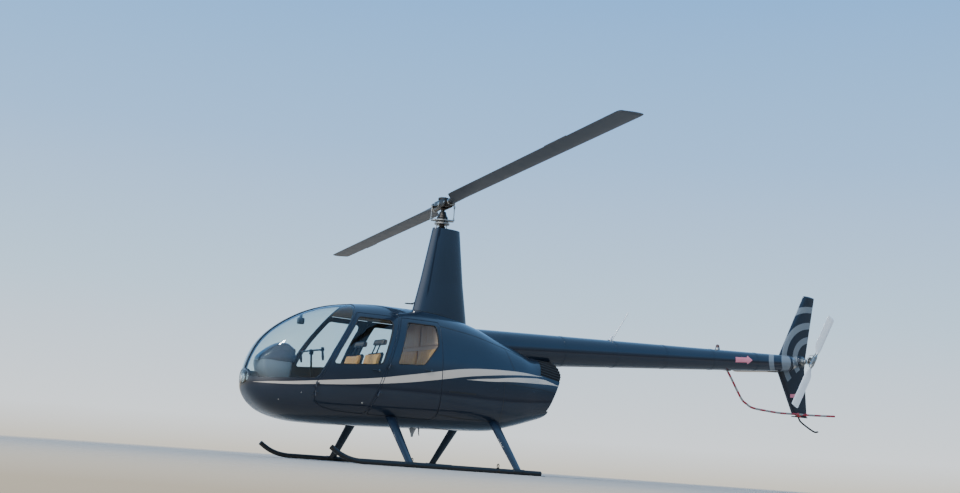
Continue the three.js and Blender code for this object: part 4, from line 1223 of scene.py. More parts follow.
def buildShaft():
    shape = Shape()
    shaft = [(0, 0), (0, .026), (.02, .026), (.024, .022), (.15, .022), (.154, .03), (.172, .032),
             (.18, .022), (.236, .021), (.2385, 0)]
    shape.turn(shaft, (0, 0, 3.0005), plusZ, 28)
    shape.turn([(0, .012), (.136, .012)], (0, -.068, head["teeterZ"]), plusY, 20, slot=1, place=headTurn)
    plate = [(0, .03), (0, .082), (.004, .091), (.018, .092), (.024, .086), (.026, .06), (.034, .05),
             (.034, .03)]
    shape.turn(plate, (0, 0, 3.0042), plusZ, 40, slot=2)
    for x, y in circle(12):
        hexBolt(shape, (.072 * x, .072 * y, 3.029), plusZ, .0042, .003, 1)
    for end in (1, -1):
        x, y = end * head["linkX"], end * head["linkY"]
        arm = [(x * .4, y * .38, 3.018), (x * .8, y * .72, 3.018), (x, y, 3.018)]
        shape.tube(arm, [.019, .017, .015], 12, slot=2, place=headTurn)
        shape.turn([(0, .0105), (.03, .0105), (.034, .006), (.15, .006), (.154, .0105), (.184, .0105),
                    (.186, .006)], (x, y, 3.022), plusZ, 14, slot=2, place=headTurn)
        for z in (3.03, 3.2):
            shape.turn([(0, .011), (.018, .011)], (x, y - .009, z), plusY, 16, slot=1, place=headTurn)
        scissor = [(-.08, .02, 3.02), (-.098, .024, 3.075), (-.03, .01, 3.13)]
        shape.tube([(end * x, end * y, z) for x, y, z in scissor], .007, 10, place=headTurn)
    bell = [(0, .022), (0, .066), (.006, .07), (.02, .068), (.034, .056), (.06, .046), (.084, .042),
            (.088, .036), (.088, .022)]
    shape.turn(bell, (0, 0, 3.0385), plusZ, 32)
    pieceFrom("rotorShaftAssembly", shape, [darkSteel, brightSteel, castAluminium],
              "rotor_shaft_and_links", "main_rotor_mast")


def buildLowerMast():
    shape = Shape()
    mast = [(0, 0), (0, .042), (.01, .042), (.016, .034), (.046, .034), (.048, .046), (.062, .048),
            (.072, .04), (.084, .036), (.084, 0)]
    shape.turn(mast, (0, 0, 2.9156), plusZ, 32)
    plate = [(0, .04), (0, .088), (.005, .095), (.022, .096), (.027, .09), (.027, .04)]
    shape.turn(plate, (0, 0, 2.9625), plusZ, 40, slot=1)
    for x, y in ((-.07, 0), (.035, .061), (.035, -.061)):
        shape.turn([(0, .007), (.03, .007), (.032, .011), (.052, .011)], (x, y, 2.9156), plusZ, 12, slot=1)
        shape.turn([(0, .01), (.02, .01)], (x, y - .01, 2.951), plusY, 14, slot=2)
    boot = [(0, .036), (.002, .048), (.006, .04), (.01, .048), (.014, .04), (.018, .046), (.022, .036)]
    shape.turn(boot, (0, 0, 2.918), plusZ, 28, slot=3)
    pieceFrom("lowerMastAssembly", shape, [darkSteel, castAluminium, brightSteel, rubber],
              "mast_and_lower_swashplate")


buildBlades()
buildHub()
buildShaft()
buildLowerMast()
stage("main rotor built")


# Tail
tail = {"finY": .15, "finThickness": .04, "rotorPlace": (5.893, -.33, 1.86), "parked": 62,
        "finEnds": {"upper": (1.8502, 2.872), "lower": (1.081, 1.8498)}}
finOutlines = {
    "upper": [(5.664, 1.8502), (5.683, 1.95), (6.12, 2.858), (6.16, 2.873), (6.336, 2.85), (6.2, 1.975),
              (6.193, 1.8502)],
    "lower": [(5.664, 1.8498), (6.193, 1.8498), (6.18, 1.79), (6.258, 1.08), (5.967, 1.116), (5.65, 1.735)],
}
# Stabiliser: share of its length, then y, leading edge and height there
stabiliser = {"shares": (0, .85, 1), "y": (.1723, .86, .96), "x": (5.462, 5.469, 5.52),
              "z": (1.702, 1.725, 1.729), "chord": .3, "tipChord": .235, "thickness": .032}


def finSpan(outline, z):  # where a level line crosses the outline, front and rear
    cuts = []
    for (x0, z0), (x1, z1) in zip(outline, outline[1:] + outline[:1]):
        if (z0 - z) * (z1 - z) <= 0 and z0 != z1:
            cuts.append(x0 + (x1 - x0) * (z - z0) / (z1 - z0))
    return min(cuts), max(cuts)


def buildFins():
    for name, (low, high) in tail["finEnds"].items():
        shape = Shape()
        smooth = rounded(finOutlines[name], .018, 5)
        heights = np.linspace(low + .0002, high - .0004, 90)
        rings = []
        for z in heights:
            try:
                front, rear = finSpan(smooth, z)
            except ValueError:
                continue
            if rear - front < .01:
                continue
            ring = airfoilRing(0, 0, rear - front, tail["finThickness"], 40)
            edge = min(1.0, math.sqrt(max(.02, min(high - z if name == "upper" else z - low, .02) / .02)))
            rings.append([(front - y, tail["finY"] + t * edge, z) for _, y, t in ring])
        shape.add([p for ring in rings for p in ring], ringFaces(len(rings), 40))
        pieceFrom(f"{name}FinSkin", shape, [finEnamel], f"{name}_fin", sharpAngle=40)
    rings = []
    for t in np.linspace(0, 1, 30):
        x, y, z = (float(np.interp(t, stabiliser["shares"], stabiliser[axis])) for axis in "xyz")
        chord = float(np.interp(t, stabiliser["shares"], [stabiliser["chord"]] * 2
                                + [stabiliser["tipChord"]]))
        edge = 1 if t < .97 else math.sqrt(max(.03, (1 - t) / .03))
        rings += [(x - row[1], y, z + row[2] * edge)
                  for row in airfoilRing(0, 0, chord, stabiliser["thickness"], 40)]
    shape = Shape().add(rings, ringFaces(30, 40))
    pieceFrom("stabiliserSkin", shape, [plainEnamel], "horizontal_stabiliser", sharpAngle=40)


guardRun = [(4.56, 0, 1.7), (4.589, 0, 1.646), (4.69, .004, 1.517), (4.885, .008, 1.256),
            (4.995, .014, 1.183), (5.125, .024, 1.138), (5.42, .05, 1.119), (5.7, .09, 1.113),
            (5.96, .1127, 1.121), (6.28, .1127, 1.128), (6.77, .1127, 1.15)]
guardRadius = .0148
skidRun = [(6.078, .15, 1.108), (6.098, .15, 1.077), (6.142, .15, 1.022), (6.284, .15, .948),
           (6.411, .15, .897), (6.481, .15, .902)]


def buildTailFittings():
    shape = Shape()
    start = []
    for spot in smoothRun(guardRun, 10):  # it begins just inside the boom
        z, radius = boomAt(spot.x)
        if spot.x > 4.7 or spot.z < z - radius + .004:
            start.append(spot)
    start[-1] = start[-1] - Vector((.004, 0, 0))
    shape.tube(start, guardRadius, 14)
    shape.turn([(0, guardRadius), (.003, .012), (.004, .004)], start[-1], (1, 0, .04), 14)
    for x in (6.03, 6.19):
        shape.turn([(0, .0185), (.026, .0185)], (x, .1127, 1.1225 + (x - 5.96) * .02),
                   (1, 0, (6.96 - x) * .02), 16, slot=2)
    z, radius = boomAt(start[0].x)
    shape.block((start[0].x - .045, -.03, z - radius - .006), (start[0].x + .045, .035, z - radius + .012),
                .004, slot=1)
    pieceFrom("guardTube", shape, [bandedPaint, plainEnamel, redPaint], "tail_guard")
    skid = Shape()
    skid.tube(skidRun, .0125, 14, smooth=6)
    skid.block((5.972, .1295, 1.0815), (6.256, .1705, 1.0955), .003, slot=2)  # sole of the fin
    skid.block((6.05, .1275, 1.088), (6.13, .1725, 1.122), .004, slot=1)
    pieceFrom("tailSkidTube", skid, [darkSteel, redPaint, satinBlack], "tail_skid")
    casting = Shape()
    profile = [(0, .114), (.004, .1152), (.014, .1152), (.018, .1125), (.06, .1), (.072, .095),
               (.0795, .092)]
    casting.turn([(0, 0)] + profile + [(.0797, 0)], (5.7203, 0, 1.821), (1, 0, .175), 64)
    casting.block((5.728, .06, 1.795), (5.792, .1277, 1.875), .006)
    for across, up in circle(16):
        out = Vector((0, across, up))
        addRivet(casting, Vector((5.729, 0, 1.822)) + out * .115, out, 1, 1.5)
    pieceFrom("tailCastingForm", casting, [finEnamel, plainEnamel], "tail_casting")
    gear = Shape()
    gear.turn([(0, 0), (0, .07), (.006, .074), (.014, .074), (.018, .064), (.08, .058)], (5.8005, 0, 1.842),
              plusX, 40, slot=3)
    x, _, z = tail["rotorPlace"]
    gear.turn([(0, 0), (0, .05), (.01, .068), (.022, .076), (.04, .078), (.15, .078), (.168, .072),
               (.182, .058), (.186, .04), (.189, 0)], (x, .069, z), minusY, 44, slot=3)
    gear.turn([(0, .056), (.01, .056), (.014, .04), (.04, .034), (.068, .031), (.0745, .024)],
              (x, -.115, z), minusY, 32)
    for across, up in circle(8, .5):
        hexBolt(gear, (x + .062 * across, -.119, z + .062 * up), minusY, .005, .006, 1)
    for k in range(7):
        gear.turn([(0, .0785), (.004, .0805), (.008, .0785)], (x, .03 - k * .019, z), minusY, 44, slot=3)
    gear.turn([(0, .012), (.014, .012), (.018, .008)], (x + .02, .01, z + .074), plusZ, 16, slot=2)
    pieceFrom("tailGearboxCasting", gear, [castAluminium, brightSteel, satinBlack, finEnamel],
              "tail_gearbox")


def buildTailRotor():
    place = Matrix.Translation(tail["rotorPlace"]) @ Matrix.Rotation(math.radians(-tail["parked"]), 4, "Y")
    shape = Shape(place)
    shape.turn([(0, 0), (0, .015), (.01, .018), (.14, .018), (.142, 0)], (0, -.001, 0), plusY, 28, slot=1)
    shape.block((-.075, -.02, -.03), (.075, .02, .03), .006)
    for end in (1, -1):
        shape.turn([(0, .02), (0, .027), (.035, .027), (.048, .02), (.0595, .02)], (end * .06, 0, 0),
                   (end, 0, 0), 24)
        for z in (-.012, .012):
            hexBolt(shape, (end * .05, -.02, z), minusY, .006, .006, 1)
        shape.tube([(end * .085, .01, .02), (end * .07, .045, .052), (end * .052, .062, .055)],
                   [.008, .007, .006], 10, slot=1)
    shape.turn([(0, .02), (0, .056), (.004, .06), (.014, .06), (.018, .054), (.018, .02)], (0, .056, 0),
               plusY, 32)
    pieceFrom("tailRotorHubForm", shape, [castAluminium, brightSteel], "tail_rotor_hub",
              "tail_rotor")
    rows = [(.1204, .028, .056, .024), (.16, .034, .075, .02), (.2, .045, .118, .015),
            (.25, .045, .13, .014), (.7, .045, .13, .012), (.725, .043, .127, .01),
            (.735, .036, .115, .006), (.737, .03, .104, .003)]
    for number, flip in ((1, 0), (2, math.pi)):
        blade = Shape(place @ Matrix.Rotation(flip, 4, "Y"))
        stops = filledRows(rows, .04)
        rings = [(x, t, -y) for row in stops for x, y, t in airfoilRing(*row, 36)]
        blade.add(rings, ringFaces(len(stops), 36))
        pieceFrom(f"tailBlade_{number}", blade, [whitePaint], f"tail_blade_{number}",
                  "tail_rotor", sharpAngle=40)


# a blank plate: outline in x and z, each point laid on the surface
def platePatch(name, outline, surface, material):
    middle = Vector((sum(x for x, z in outline) / len(outline), sum(z for x, z in outline) / len(outline)))
    edge = [Vector(p) for p in evenLoop([(x, z, 0) for x, z in outline], .02)]
    rings = [[surface(middle.x + (p.x - middle.x) * share, middle.y + (p.y - middle.y) * share)
              for p in edge] for share in (.02, .35, .7, 1)]
    shape = Shape()
    shape.add([p for ring in rings for p in ring], ringFaces(len(rings), len(edge), caps=False)
              + [tuple(range(len(edge)))])
    return pieceFrom(name, shape, [material], sharpAngle=None)


def boomSide(x, z):
    middle, radius = boomAt(x)
    return Vector((x, -math.sqrt(max((radius + .0015) ** 2 - (z - middle) ** 2, 0)), z))


def finSide(x, z):
    front, rear = finSpan(rounded(finOutlines["lower"], .018, 5), z)
    share = (x - front) / (rear - front)
    return Vector((x, tail["finY"] - tail["finThickness"] * airfoilHalf(share) - .0015, z))


def buildPlates():
    arrow = [(4.64, 1.725), (4.865, 1.748), (4.865, 1.722), (4.948, 1.786), (4.865, 1.84), (4.865, 1.815),
             (4.64, 1.8)]
    platePatch("boomPlate", arrow, boomSide, plateRed)
    platePatch("finPlate", [(5.905, 1.352), (6.165, 1.374), (6.165, 1.424), (5.905, 1.402)], finSide,
               plateRed)


buildFins()
buildPlates()
buildTailFittings()
buildTailRotor()
stage("tail built")


# Landing gear
gearSet = {"skidY": 1.092, "skidRadius": .0285, "clampRadius": .0304, "legX": (-.722, .67), "belly": .0007,
           "doorRoom": .014, "wearPlates": (-1.05, -.35, .35, .86), "eyeX": .395}
skidPath = [(-1.672, .16), (-1.61, .118), (-1.53, .076), (-1.43, .044), (-1.32, .0295), (-1.22, .0285),
            (-.6, .0285), (0, .0285), (.6, .0285), (.969, .0285)]
# y, z, half length, half thickness
legRows = [(-1.086, .038, .046, .02), (-.98, .129, .0496, .0213), (-.87, .224, .0533, .0226),
           (-.76, .318, .057, .024), (-.65, .412, .0606, .025), (-.54, .507, .0641, .026),
           (-.42, .61, .068, .027)]


def buildGear():
    for side, sign in (("left", -1), ("right", 1)):
        shape = Shape()
        run = smoothRun([(x, sign * gearSet["skidY"], z) for x, z in skidPath], 8)
        run = [Vector((p.x, p.y, max(p.z, gearSet["skidRadius"]))) for p in run]
        shape.tube(run, gearSet["skidRadius"], 28)
        shape.turn([(0, .0288), (.02, .0288), (.022, .0285)], run[0], run[1] - run[0], 28, slot=1)
        y, wide = sign * gearSet["skidY"], gearSet["clampRadius"]
        for x in gearSet["wearPlates"]:  # under the tube
            shape.block((x - .16, y - .019, .0008), (x + .16, y + .019, .0046), .0015, slot=1)
        for legX in gearSet["legX"]:
            clamp = [(0, .0288), (.002, wide), (.15, wide), (.152, .0288)]
            shape.turn(clamp, (legX - .076, y, .031), plusX, 28)
            for dx in (-.06, .06):
                hexBolt(shape, (legX + dx, y + sign * .03, .03), (0, sign, 0), .007, .006, 1)
        x = gearSet["eyeX"]
        band = [(0, .0288), (.001, wide), (.03, wide), (.031, .0288)]
        shape.turn(band, (x - .015, y, .031), plusX, 28, slot=1)
        loop = [(x, y + .02 * across, .082 + .024 * up) for across, up in circle(21)]
        shape.tube(loop, .0055, 10, closedRun=True, slot=1)  # eye for the ground wheels
        pieceFrom(f"skidTube_{side}", shape, [satinBlack, darkSteel], f"skid_{side}")
    for place, legX in zip(("front", "rear"), gearSet["legX"]):
        rings = []
        befores, afters = legRows[:1] + legRows, legRows[1:] + legRows[-1:]
        for (y, z, length, thickness), before, after in zip(legRows, befores, afters):
            tilt = math.atan2(after[1] - before[1], after[0] - before[0])
            for x, up in circle(40):
                up *= thickness
                rings.append((legX + length * x, y - up * math.sin(tilt), z + up * math.cos(tilt)))
        form = meshObject("leg", rings, ringFaces(len(legRows), 40), shift=False)
        outward(form)
        carved(form, bodyObject("legCut", -gearSet["belly"]))
        doorRoom = prism("doorRoom", grown(outlines["rearDoor"], gearSet["doorRoom"]), -.72, -.13)
        carved(form, shared(doorRoom, bodyObject("room", -gearSet["doorRoom"])))
        saddle = turned([(0, .0298), (3, .0298)], (-1.5, -gearSet["skidY"], .0285), plusX, 40)
        carved(form, meshObject("saddle", *saddle, shift=False))
        other = mirrored(form, "leg")
        for piece, side in ((form, "left"), (other, "right")):
            piece.name = f"{place}LegFairing_{side}"
            toFrame(piece)
            finishPiece(piece, [plainEnamel], f"{place}_leg_{side}", sharpAngle=32)


buildGear()
stage("gear built")


# Soft parts: a plain form is remeshed, filled by pressure like stuffing and held near its first shape
stuffing = {"pressure": 4, "frames": 20, "evenShare": .5, "evenTurns": 4}


def swell(piece, spacing, reach):
    remesh = piece.modifiers.new("remesh", "REMESH")
    remesh.mode, remesh.voxel_size = "VOXEL", spacing
    applied(piece)
    before = tableOf(piece.data.vertices, "co")
    cloth = piece.modifiers.new("stuffing", "CLOTH")
    cloth.settings.use_pressure = True
    cloth.settings.uniform_pressure_force = stuffing["pressure"]
    cloth.settings.effector_weights.gravity = 0
    for number in range(1, stuffing["frames"] + 1):
        bpy.context.scene.frame_set(number)
    filled = piece.evaluated_get(bpy.context.evaluated_depsgraph_get())
    move = tableOf(filled.to_mesh().vertices, "co") - before
    filled.to_mesh_clear()
    length = np.maximum(np.linalg.norm(move, axis=1, keepdims=True), 1e-9)
    piece.modifiers.clear()
    piece.data.vertices.foreach_set("co", (before + move * np.minimum(1, reach / length)).ravel())
    bpy.context.scene.frame_set(1)
    even = piece.modifiers.new("even", "SMOOTH")
    even.factor, even.iterations = stuffing["evenShare"], stuffing["evenTurns"]
    piece.modifiers.new("finer", "SUBSURF").levels = 1
    return applied(piece)


def sewChannels(piece, spacing, depth, facing, start, within=None):  # sewn grooves across one face
    spots, normals = tableOf(piece.data.vertices, "co"), tableOf(piece.data.vertex_normals, "vector")
    wave = np.abs(np.sin(np.pi * (spots[:, 1] - start) / spacing))
    groove = (1 - wave) ** 3
    lean = np.clip((normals @ np.array(facing) - .35) / .4, 0, 1)
    if within:
        along, low, high, edge = within
        place = spots[:, along]
        lean = lean * np.clip((place - low) / edge, 0, 1) * np.clip((high - place) / edge, 0, 1)
    spots = spots - normals * (groove * lean * depth)[:, None]
    piece.data.vertices.foreach_set("co", spots.ravel())
    piece.data.update()


def snapped(piece, points, lift):  # a run laid on a piece's surface
    mesh = piece.data
    tree = BVHTree.FromPolygons([v.co for v in mesh.vertices], [p.vertices for p in mesh.polygons])
    out = []
    for point in points:
        spot, normal, _, _ = tree.find_nearest(Vector(point))
        out.append(spot + normal * lift)
    return out


def cushion(name, form, spacing, reach):  # the form's own mesh, swollen and named
    form.name = name
    swell(form, spacing, reach)
    form.data.shade_smooth()
    return form


def settle(piece, material):
    toFrame(piece)
    finishPiece(piece, [material], sharpAngle=None)


# Cabin: two front seats, a rear bench in two halves, an upholstered bulkhead
seats = {
    "base": (-1.424, -.966, -.478, -.072, .872, .948),
    "back": [(-1.0, .952), (-.964, .938), (-.881, 1.244), (-.893, 1.266), (-.91, 1.266), (-.921, 1.25)],
    "backHalf": (-.468, -.082),
    "shell": [(-.954, .905), (-.947, .902), (-.859, 1.254), (-.874, 1.276), (-.88, 1.272), (-.869, 1.25)],
    "headrest": [(-.856, 1.376), (-.822, 1.366), (-.802, 1.376), (-.797, 1.424), (-.808, 1.434),
                 (-.834, 1.432)],
    "headrestHalf": (-.415, -.135), "posts": (-.335, -.215),
    "bench": (-.644, -.178, -.516, -.01, .872, .948),
    "benchBack": [(-.236, .962), (-.176, .962), (-.176, 1.396), (-.2, 1.402)], "benchBackHalf": (-.498, -.01),
    "bulkheadPad": [(-.02, 1.43), (-.5, 1.43), (-.445, 1.575), (-.33, 1.69), (-.02, 1.712)],
    "channels": .064, "benchChannels": .062,
}


def baseForm(values):  # a seat's cushion before it is filled
    x0, x1, y0, y1, z0, z1 = values
    return prism("base", rounded([(x0, z0), (x1, z0), (x1, z1), (x0, z1)], .022, 4), y0, y1)


def backForm(key):
    return prism("back", rounded(seats[key], .01, 3), *seats[key + "Half"])


def frontSeatParts():
    x0, x1, y0 = seats["base"][:3]
    base = cushion("seatCushion", baseForm(seats["base"]), .009, .012)
    sewChannels(base, seats["channels"], .006, (0, 0, 1), y0 - .012, within=(0, x0 + .03, x1 - .02, .02))
    back = cushion("seatBack", backForm("back"), .008, .009)
    sewChannels(back, seats["channels"], .012, (-1, 0, .2), y0 - .012, within=(2, .99, 1.245, .02))
    return base, back, cushion("headrest", backForm("headrest"), .007, .005)


def seatHardware(side):
    shape = Shape()
    sign = -1 if side == "left" else 1
    low, high = sorted((sign * .062, sign * .487))
    shape.block((-1.417, low, .6005), (-.963, high, .866), .014, 3)
    shape.block((-1.4195, low + .05, .64), (-1.4165, high - .05, .84), .001, slot=1)  # locker door
    inner, outer = sorted((sign * .076, sign * .474))
    points = [(x, y, z) for y in (inner, outer) for x, z in seats["shell"]]
    count = len(seats["shell"])
    shape.add(points, ringFaces(2, count), slot=1)
    for y in seats["posts"]:
        y = y * -sign
        shape.tube([(-.896, y, 1.245), (-.893, y, 1.262), (-.848, y, 1.385), (-.842, y, 1.4)], .0085, 12,
                   slot=2)
        shape.turn([(0, .013), (.006, .013), (.008, .009)], (-.8935, y, 1.262), (.0215, 0, .058), 16,
                   slot=1)
    return shape


def restRim(rest):  # dark welt round the headrest's front
    y0, y1 = seats["headrestHalf"]
    corners = [(-.862, y0 - .01, 1.372), (-.862, y1 + .01, 1.372), (-.838, y1 + .01, 1.44),
               (-.838, y0 - .01, 1.44)]
    return snapped(rest, evenLoop(corners), .002)


def buildFrontSeats():
    base, back, rest = frontSeatParts()
    x0, x1, y0, y1, _, z1 = seats["base"]
    seatEdge = [(x0 - .02, y0 - .02, z1), (x1 + .01, y0 - .02, z1), (x1 + .01, y1 + .02, z1),
                (x0 - .02, y1 + .02, z1)]
    backEdge = [(-1.02, y0 - .01, .975), (-1.02, y1 + .01, .975), (-.94, y1 + .01, 1.27),
                (-.94, y0 - .01, 1.27)]
    welt, backWelt = snapped(base, evenLoop(seatEdge), .001), snapped(back, evenLoop(backEdge), .001)
    rim = restRim(rest)
    for side, sign in (("left", 1), ("right", -1)):
        parts = ((base, "Cushion", hide, .75), (back, "BackPad", hide, .8), (rest, "Headrest", brownHide, .9))
        for part, words, material, fill in parts:
            settle((copied if sign > 0 else mirrored)(part, f"frontSeat{words}_{side}"), material)
        shape = Shape()
        for run, radius, slot in ((welt, .0042, 0), (backWelt, .0042, 0), (rim, .006, 1)):
            shape.tube([(p.x, p.y * sign, p.z) for p in run], radius, 8, closedRun=True, slot=slot)
        pieceFrom(f"frontSeatWelts_{side}", shape, [hide, blackHide])
        pieceFrom(f"frontSeatFrame_{side}", seatHardware(side), [carpet, trimPlastic, darkSteel],
                  f"front_seat_{side}")
    for part in (base, back, rest):
        bpy.data.objects.remove(part)


def buildBench():
    x0, x1, y0 = seats["bench"][:3]
    base = cushion("benchCushion", baseForm(seats["bench"]), .01, .012)
    sewChannels(base, seats["benchChannels"], .006, (0, 0, 1), y0 - .012, within=(0, x0 + .03, x1 - .02, .02))
    back = cushion("benchBack", backForm("benchBack"), .01, .01)
    sewChannels(back, seats["benchChannels"], .007, (-1, 0, .1), y0 - .012, within=(2, 1.0, 1.36, .02))
    pad = prism("pad", seats["bulkheadPad"], -.17, -.1605, axis="X")
    panel = cushion("bulkheadPad", pad, .007, .004)
    sewChannels(panel, .15, .004, (-1, 0, 0), -.02)
    for side, sign in (("left", 1), ("right", -1)):
        parts = ((base, "Cushion", hide, .75), (back, "BackPad", hide, .8), (panel, "HeadPanel", greige, .95))
        for part, words, material, fill in parts:
            settle((copied if sign > 0 else mirrored)(part, f"rearSeat{words}_{side}"), material)
    for part in (base, back, panel):
        bpy.data.objects.remove(part)
    shape = Shape()
    shape.block((-.638, -.527, .6005), (-.164, .527, .866), .014, 3)
    shape.block((-.6405, -.47, .64), (-.6375, -.04, .84), .001, slot=1)
    shape.block((-.6405, .04, .64), (-.6375, .47, .84), .001, slot=1)
    pieceFrom("rearSeatFrame", shape, [carpet, trimPlastic], "rear_seat")
    wallPiece = shared(bodyObject("bulk", walls["cowl"] + .0006), block(-.158, -.115, -.9, .9, .5603, 1.78))
    wallPiece.name = "rearBulkheadPanel"
    toFrame(wallPiece)
    finishPiece(wallPiece, [greige], "rear_bulkhead")


# Instrument dome on its column: nose-side rows are x, half width, top
dome = {
    "rows": [(-2.212, .075, 1.1), (-2.2, .115, 1.128), (-2.16, .15, 1.172), (-2.1, .172, 1.222),
             (-2.04, .183, 1.262), (-1.98, .187, 1.29), (-1.92, .189, 1.302), (-1.87, .187, 1.292),
             (-1.835, .184, 1.268), (-1.816, .182, 1.255)],
    "low": 1.078, "power": 2.5, "sides": 56, "faceX": -1.816,
    "dials": [(-.118, 1.196, .031), (-.04, 1.203, .031), (.04, 1.203, .031), (.118, 1.196, .031),
              (-.118, 1.122, .031), (-.04, 1.126, .031), (.04, 1.126, .031), (.118, 1.122, .031)],
    "shroud": [(1.0775, -2.198, -1.836, .176), (1.02, -2.192, -1.838, .178), (.955, -2.176, -1.84, .172),
               (.885, -2.135, -1.842, .15), (.8, -2.085, -1.825, .12), (.72, -2.062, -1.815, .106)],
}


def domeRing(x, half, top, low, power, sides):
    out = []
    for across, up in circle(sides):
        rise = abs(up) ** (2 / power)
        z = low + (top - low) * rise if up > 0 else low - .012 * rise
        out.append((x, half * math.copysign(abs(across) ** (2 / power), across), z))
    return out


def addDial(shape, y, z, radius):
    x, out = dome["faceX"], Vector(plusX)
    shape.turn([(0, radius * 1.12), (.005, radius * 1.12), (.006, radius), (.002, radius * .98), (.002, 0)],
               (x, y, z), plusX, 36, slot=1)
    shape.turn([(0, 0), (0, radius * .96), (.0008, radius * .96), (.0008, 0)], (x + .0022, y, z), plusX, 36,
               slot=2)
    for across, up in circle(12):
        along = Vector((0, across, up))
        side = out.cross(along)
        inner, outer = along * radius * .74, along * radius * .9
        middle = Vector((x + .0034, y, z))
        wide = side * .0008
        mark = [middle + inner - wide, middle + inner + wide, middle + outer + wide, middle + outer - wide]
        shape.add(mark + [c + out * .0004 for c in mark], slabFaces, 3)
    lean = Vector((0, math.cos(1.1 + y * 9), math.sin(1.1 + y * 9)))
    pivot = Vector((x + .0042, y, z))
    shape.tube([pivot - lean * radius * .15, pivot + lean * radius * .66], [.0014, .0004], 6, slot=3)


def buildConsole():
    shape = Shape()
    rows = dome["rows"]
    fine = np.linspace(0, len(rows) - 1, 34)
    columns = [np.interp(fine, range(len(rows)), [row[i] for row in rows]) for i in range(3)]
    rings = [p for row in zip(*columns) for p in domeRing(*row, dome["low"], dome["power"], dome["sides"])]
    shape.add(rings, ringFaces(len(fine), dome["sides"]))
    skirt = []
    for z, x0, x1, half in dome["shroud"]:  # shroud between the dome and the column
        skirt += [(x, y, z) for x, y in rounded([(x0, -half), (x1, -half), (x1, half), (x0, half)], .05, 5)]
    shape.add(skirt, ringFaces(len(dome["shroud"]), len(skirt) // len(dome["shroud"])), slot=5)
    column = rounded([(-2.058, .6005), (-1.625, .6005), (-1.585, .838), (-1.642, .878), (-1.802, .955),
                      (-1.83, 1.0), (-2.03, 1.0)], .014, 4)
    points = [(x, y, z) for y in (-.104, -.098, .098, .104) for x, z in column]
    shape.add(points, ringFaces(4, len(column)), slot=4)
    for y, z, radius in dome["dials"]:
        addDial(shape, y, z, radius)
    for number in range(3):  # radios on the sloping face
        share = (number + .5) / 3
        x, z = -1.8 + .155 * share, .957 - .075 * share
        turn = Matrix.Translation((x, 0, z)) @ Matrix.Rotation(math.radians(25.6), 4, "Y")
        shape.block((-.024, -.082, 0), (.024, .082, .01), .003, slot=1, place=turn)
        shape.block((-.01, -.04, .008), (.01, .04, .0115), .001, slot=2, place=turn)
        for y in (-.066, .066):
            shape.turn([(0, .008), (.01, .007), (.011, .005)], (0, y, .009), plusZ, 14, slot=1, place=turn)
    pieceFrom("instrumentDome", shape, [dashGloss, satinBlack, dialFace, dialMark, trimPlastic, dashGrey],
              "instrument_console", sharpAngle=40)
    compass = Shape()
    compass.block((-1.762, -.034, 1.532), (-1.692, .034, 1.606), .008, 3)
    compass.turn([(0, .026), (.004, .026), (.006, .02), (.001, .018)], (-1.693, 0, 1.568), plusX, 28,
                 slot=1)
    compass.block((-1.742, -.012, 1.6), (-1.712, .012, 1.646), .003)
    pieceFrom("compassBox", compass, [satinBlack, dialFace])


def gripShape(shape, low, high, radii):
    last = len(radii) - 1
    spots = [Vector(low).lerp(Vector(high), k / last) for k in range(last + 1)]
    shape.tube(spots, radii, 16, smooth=3, slot=1)


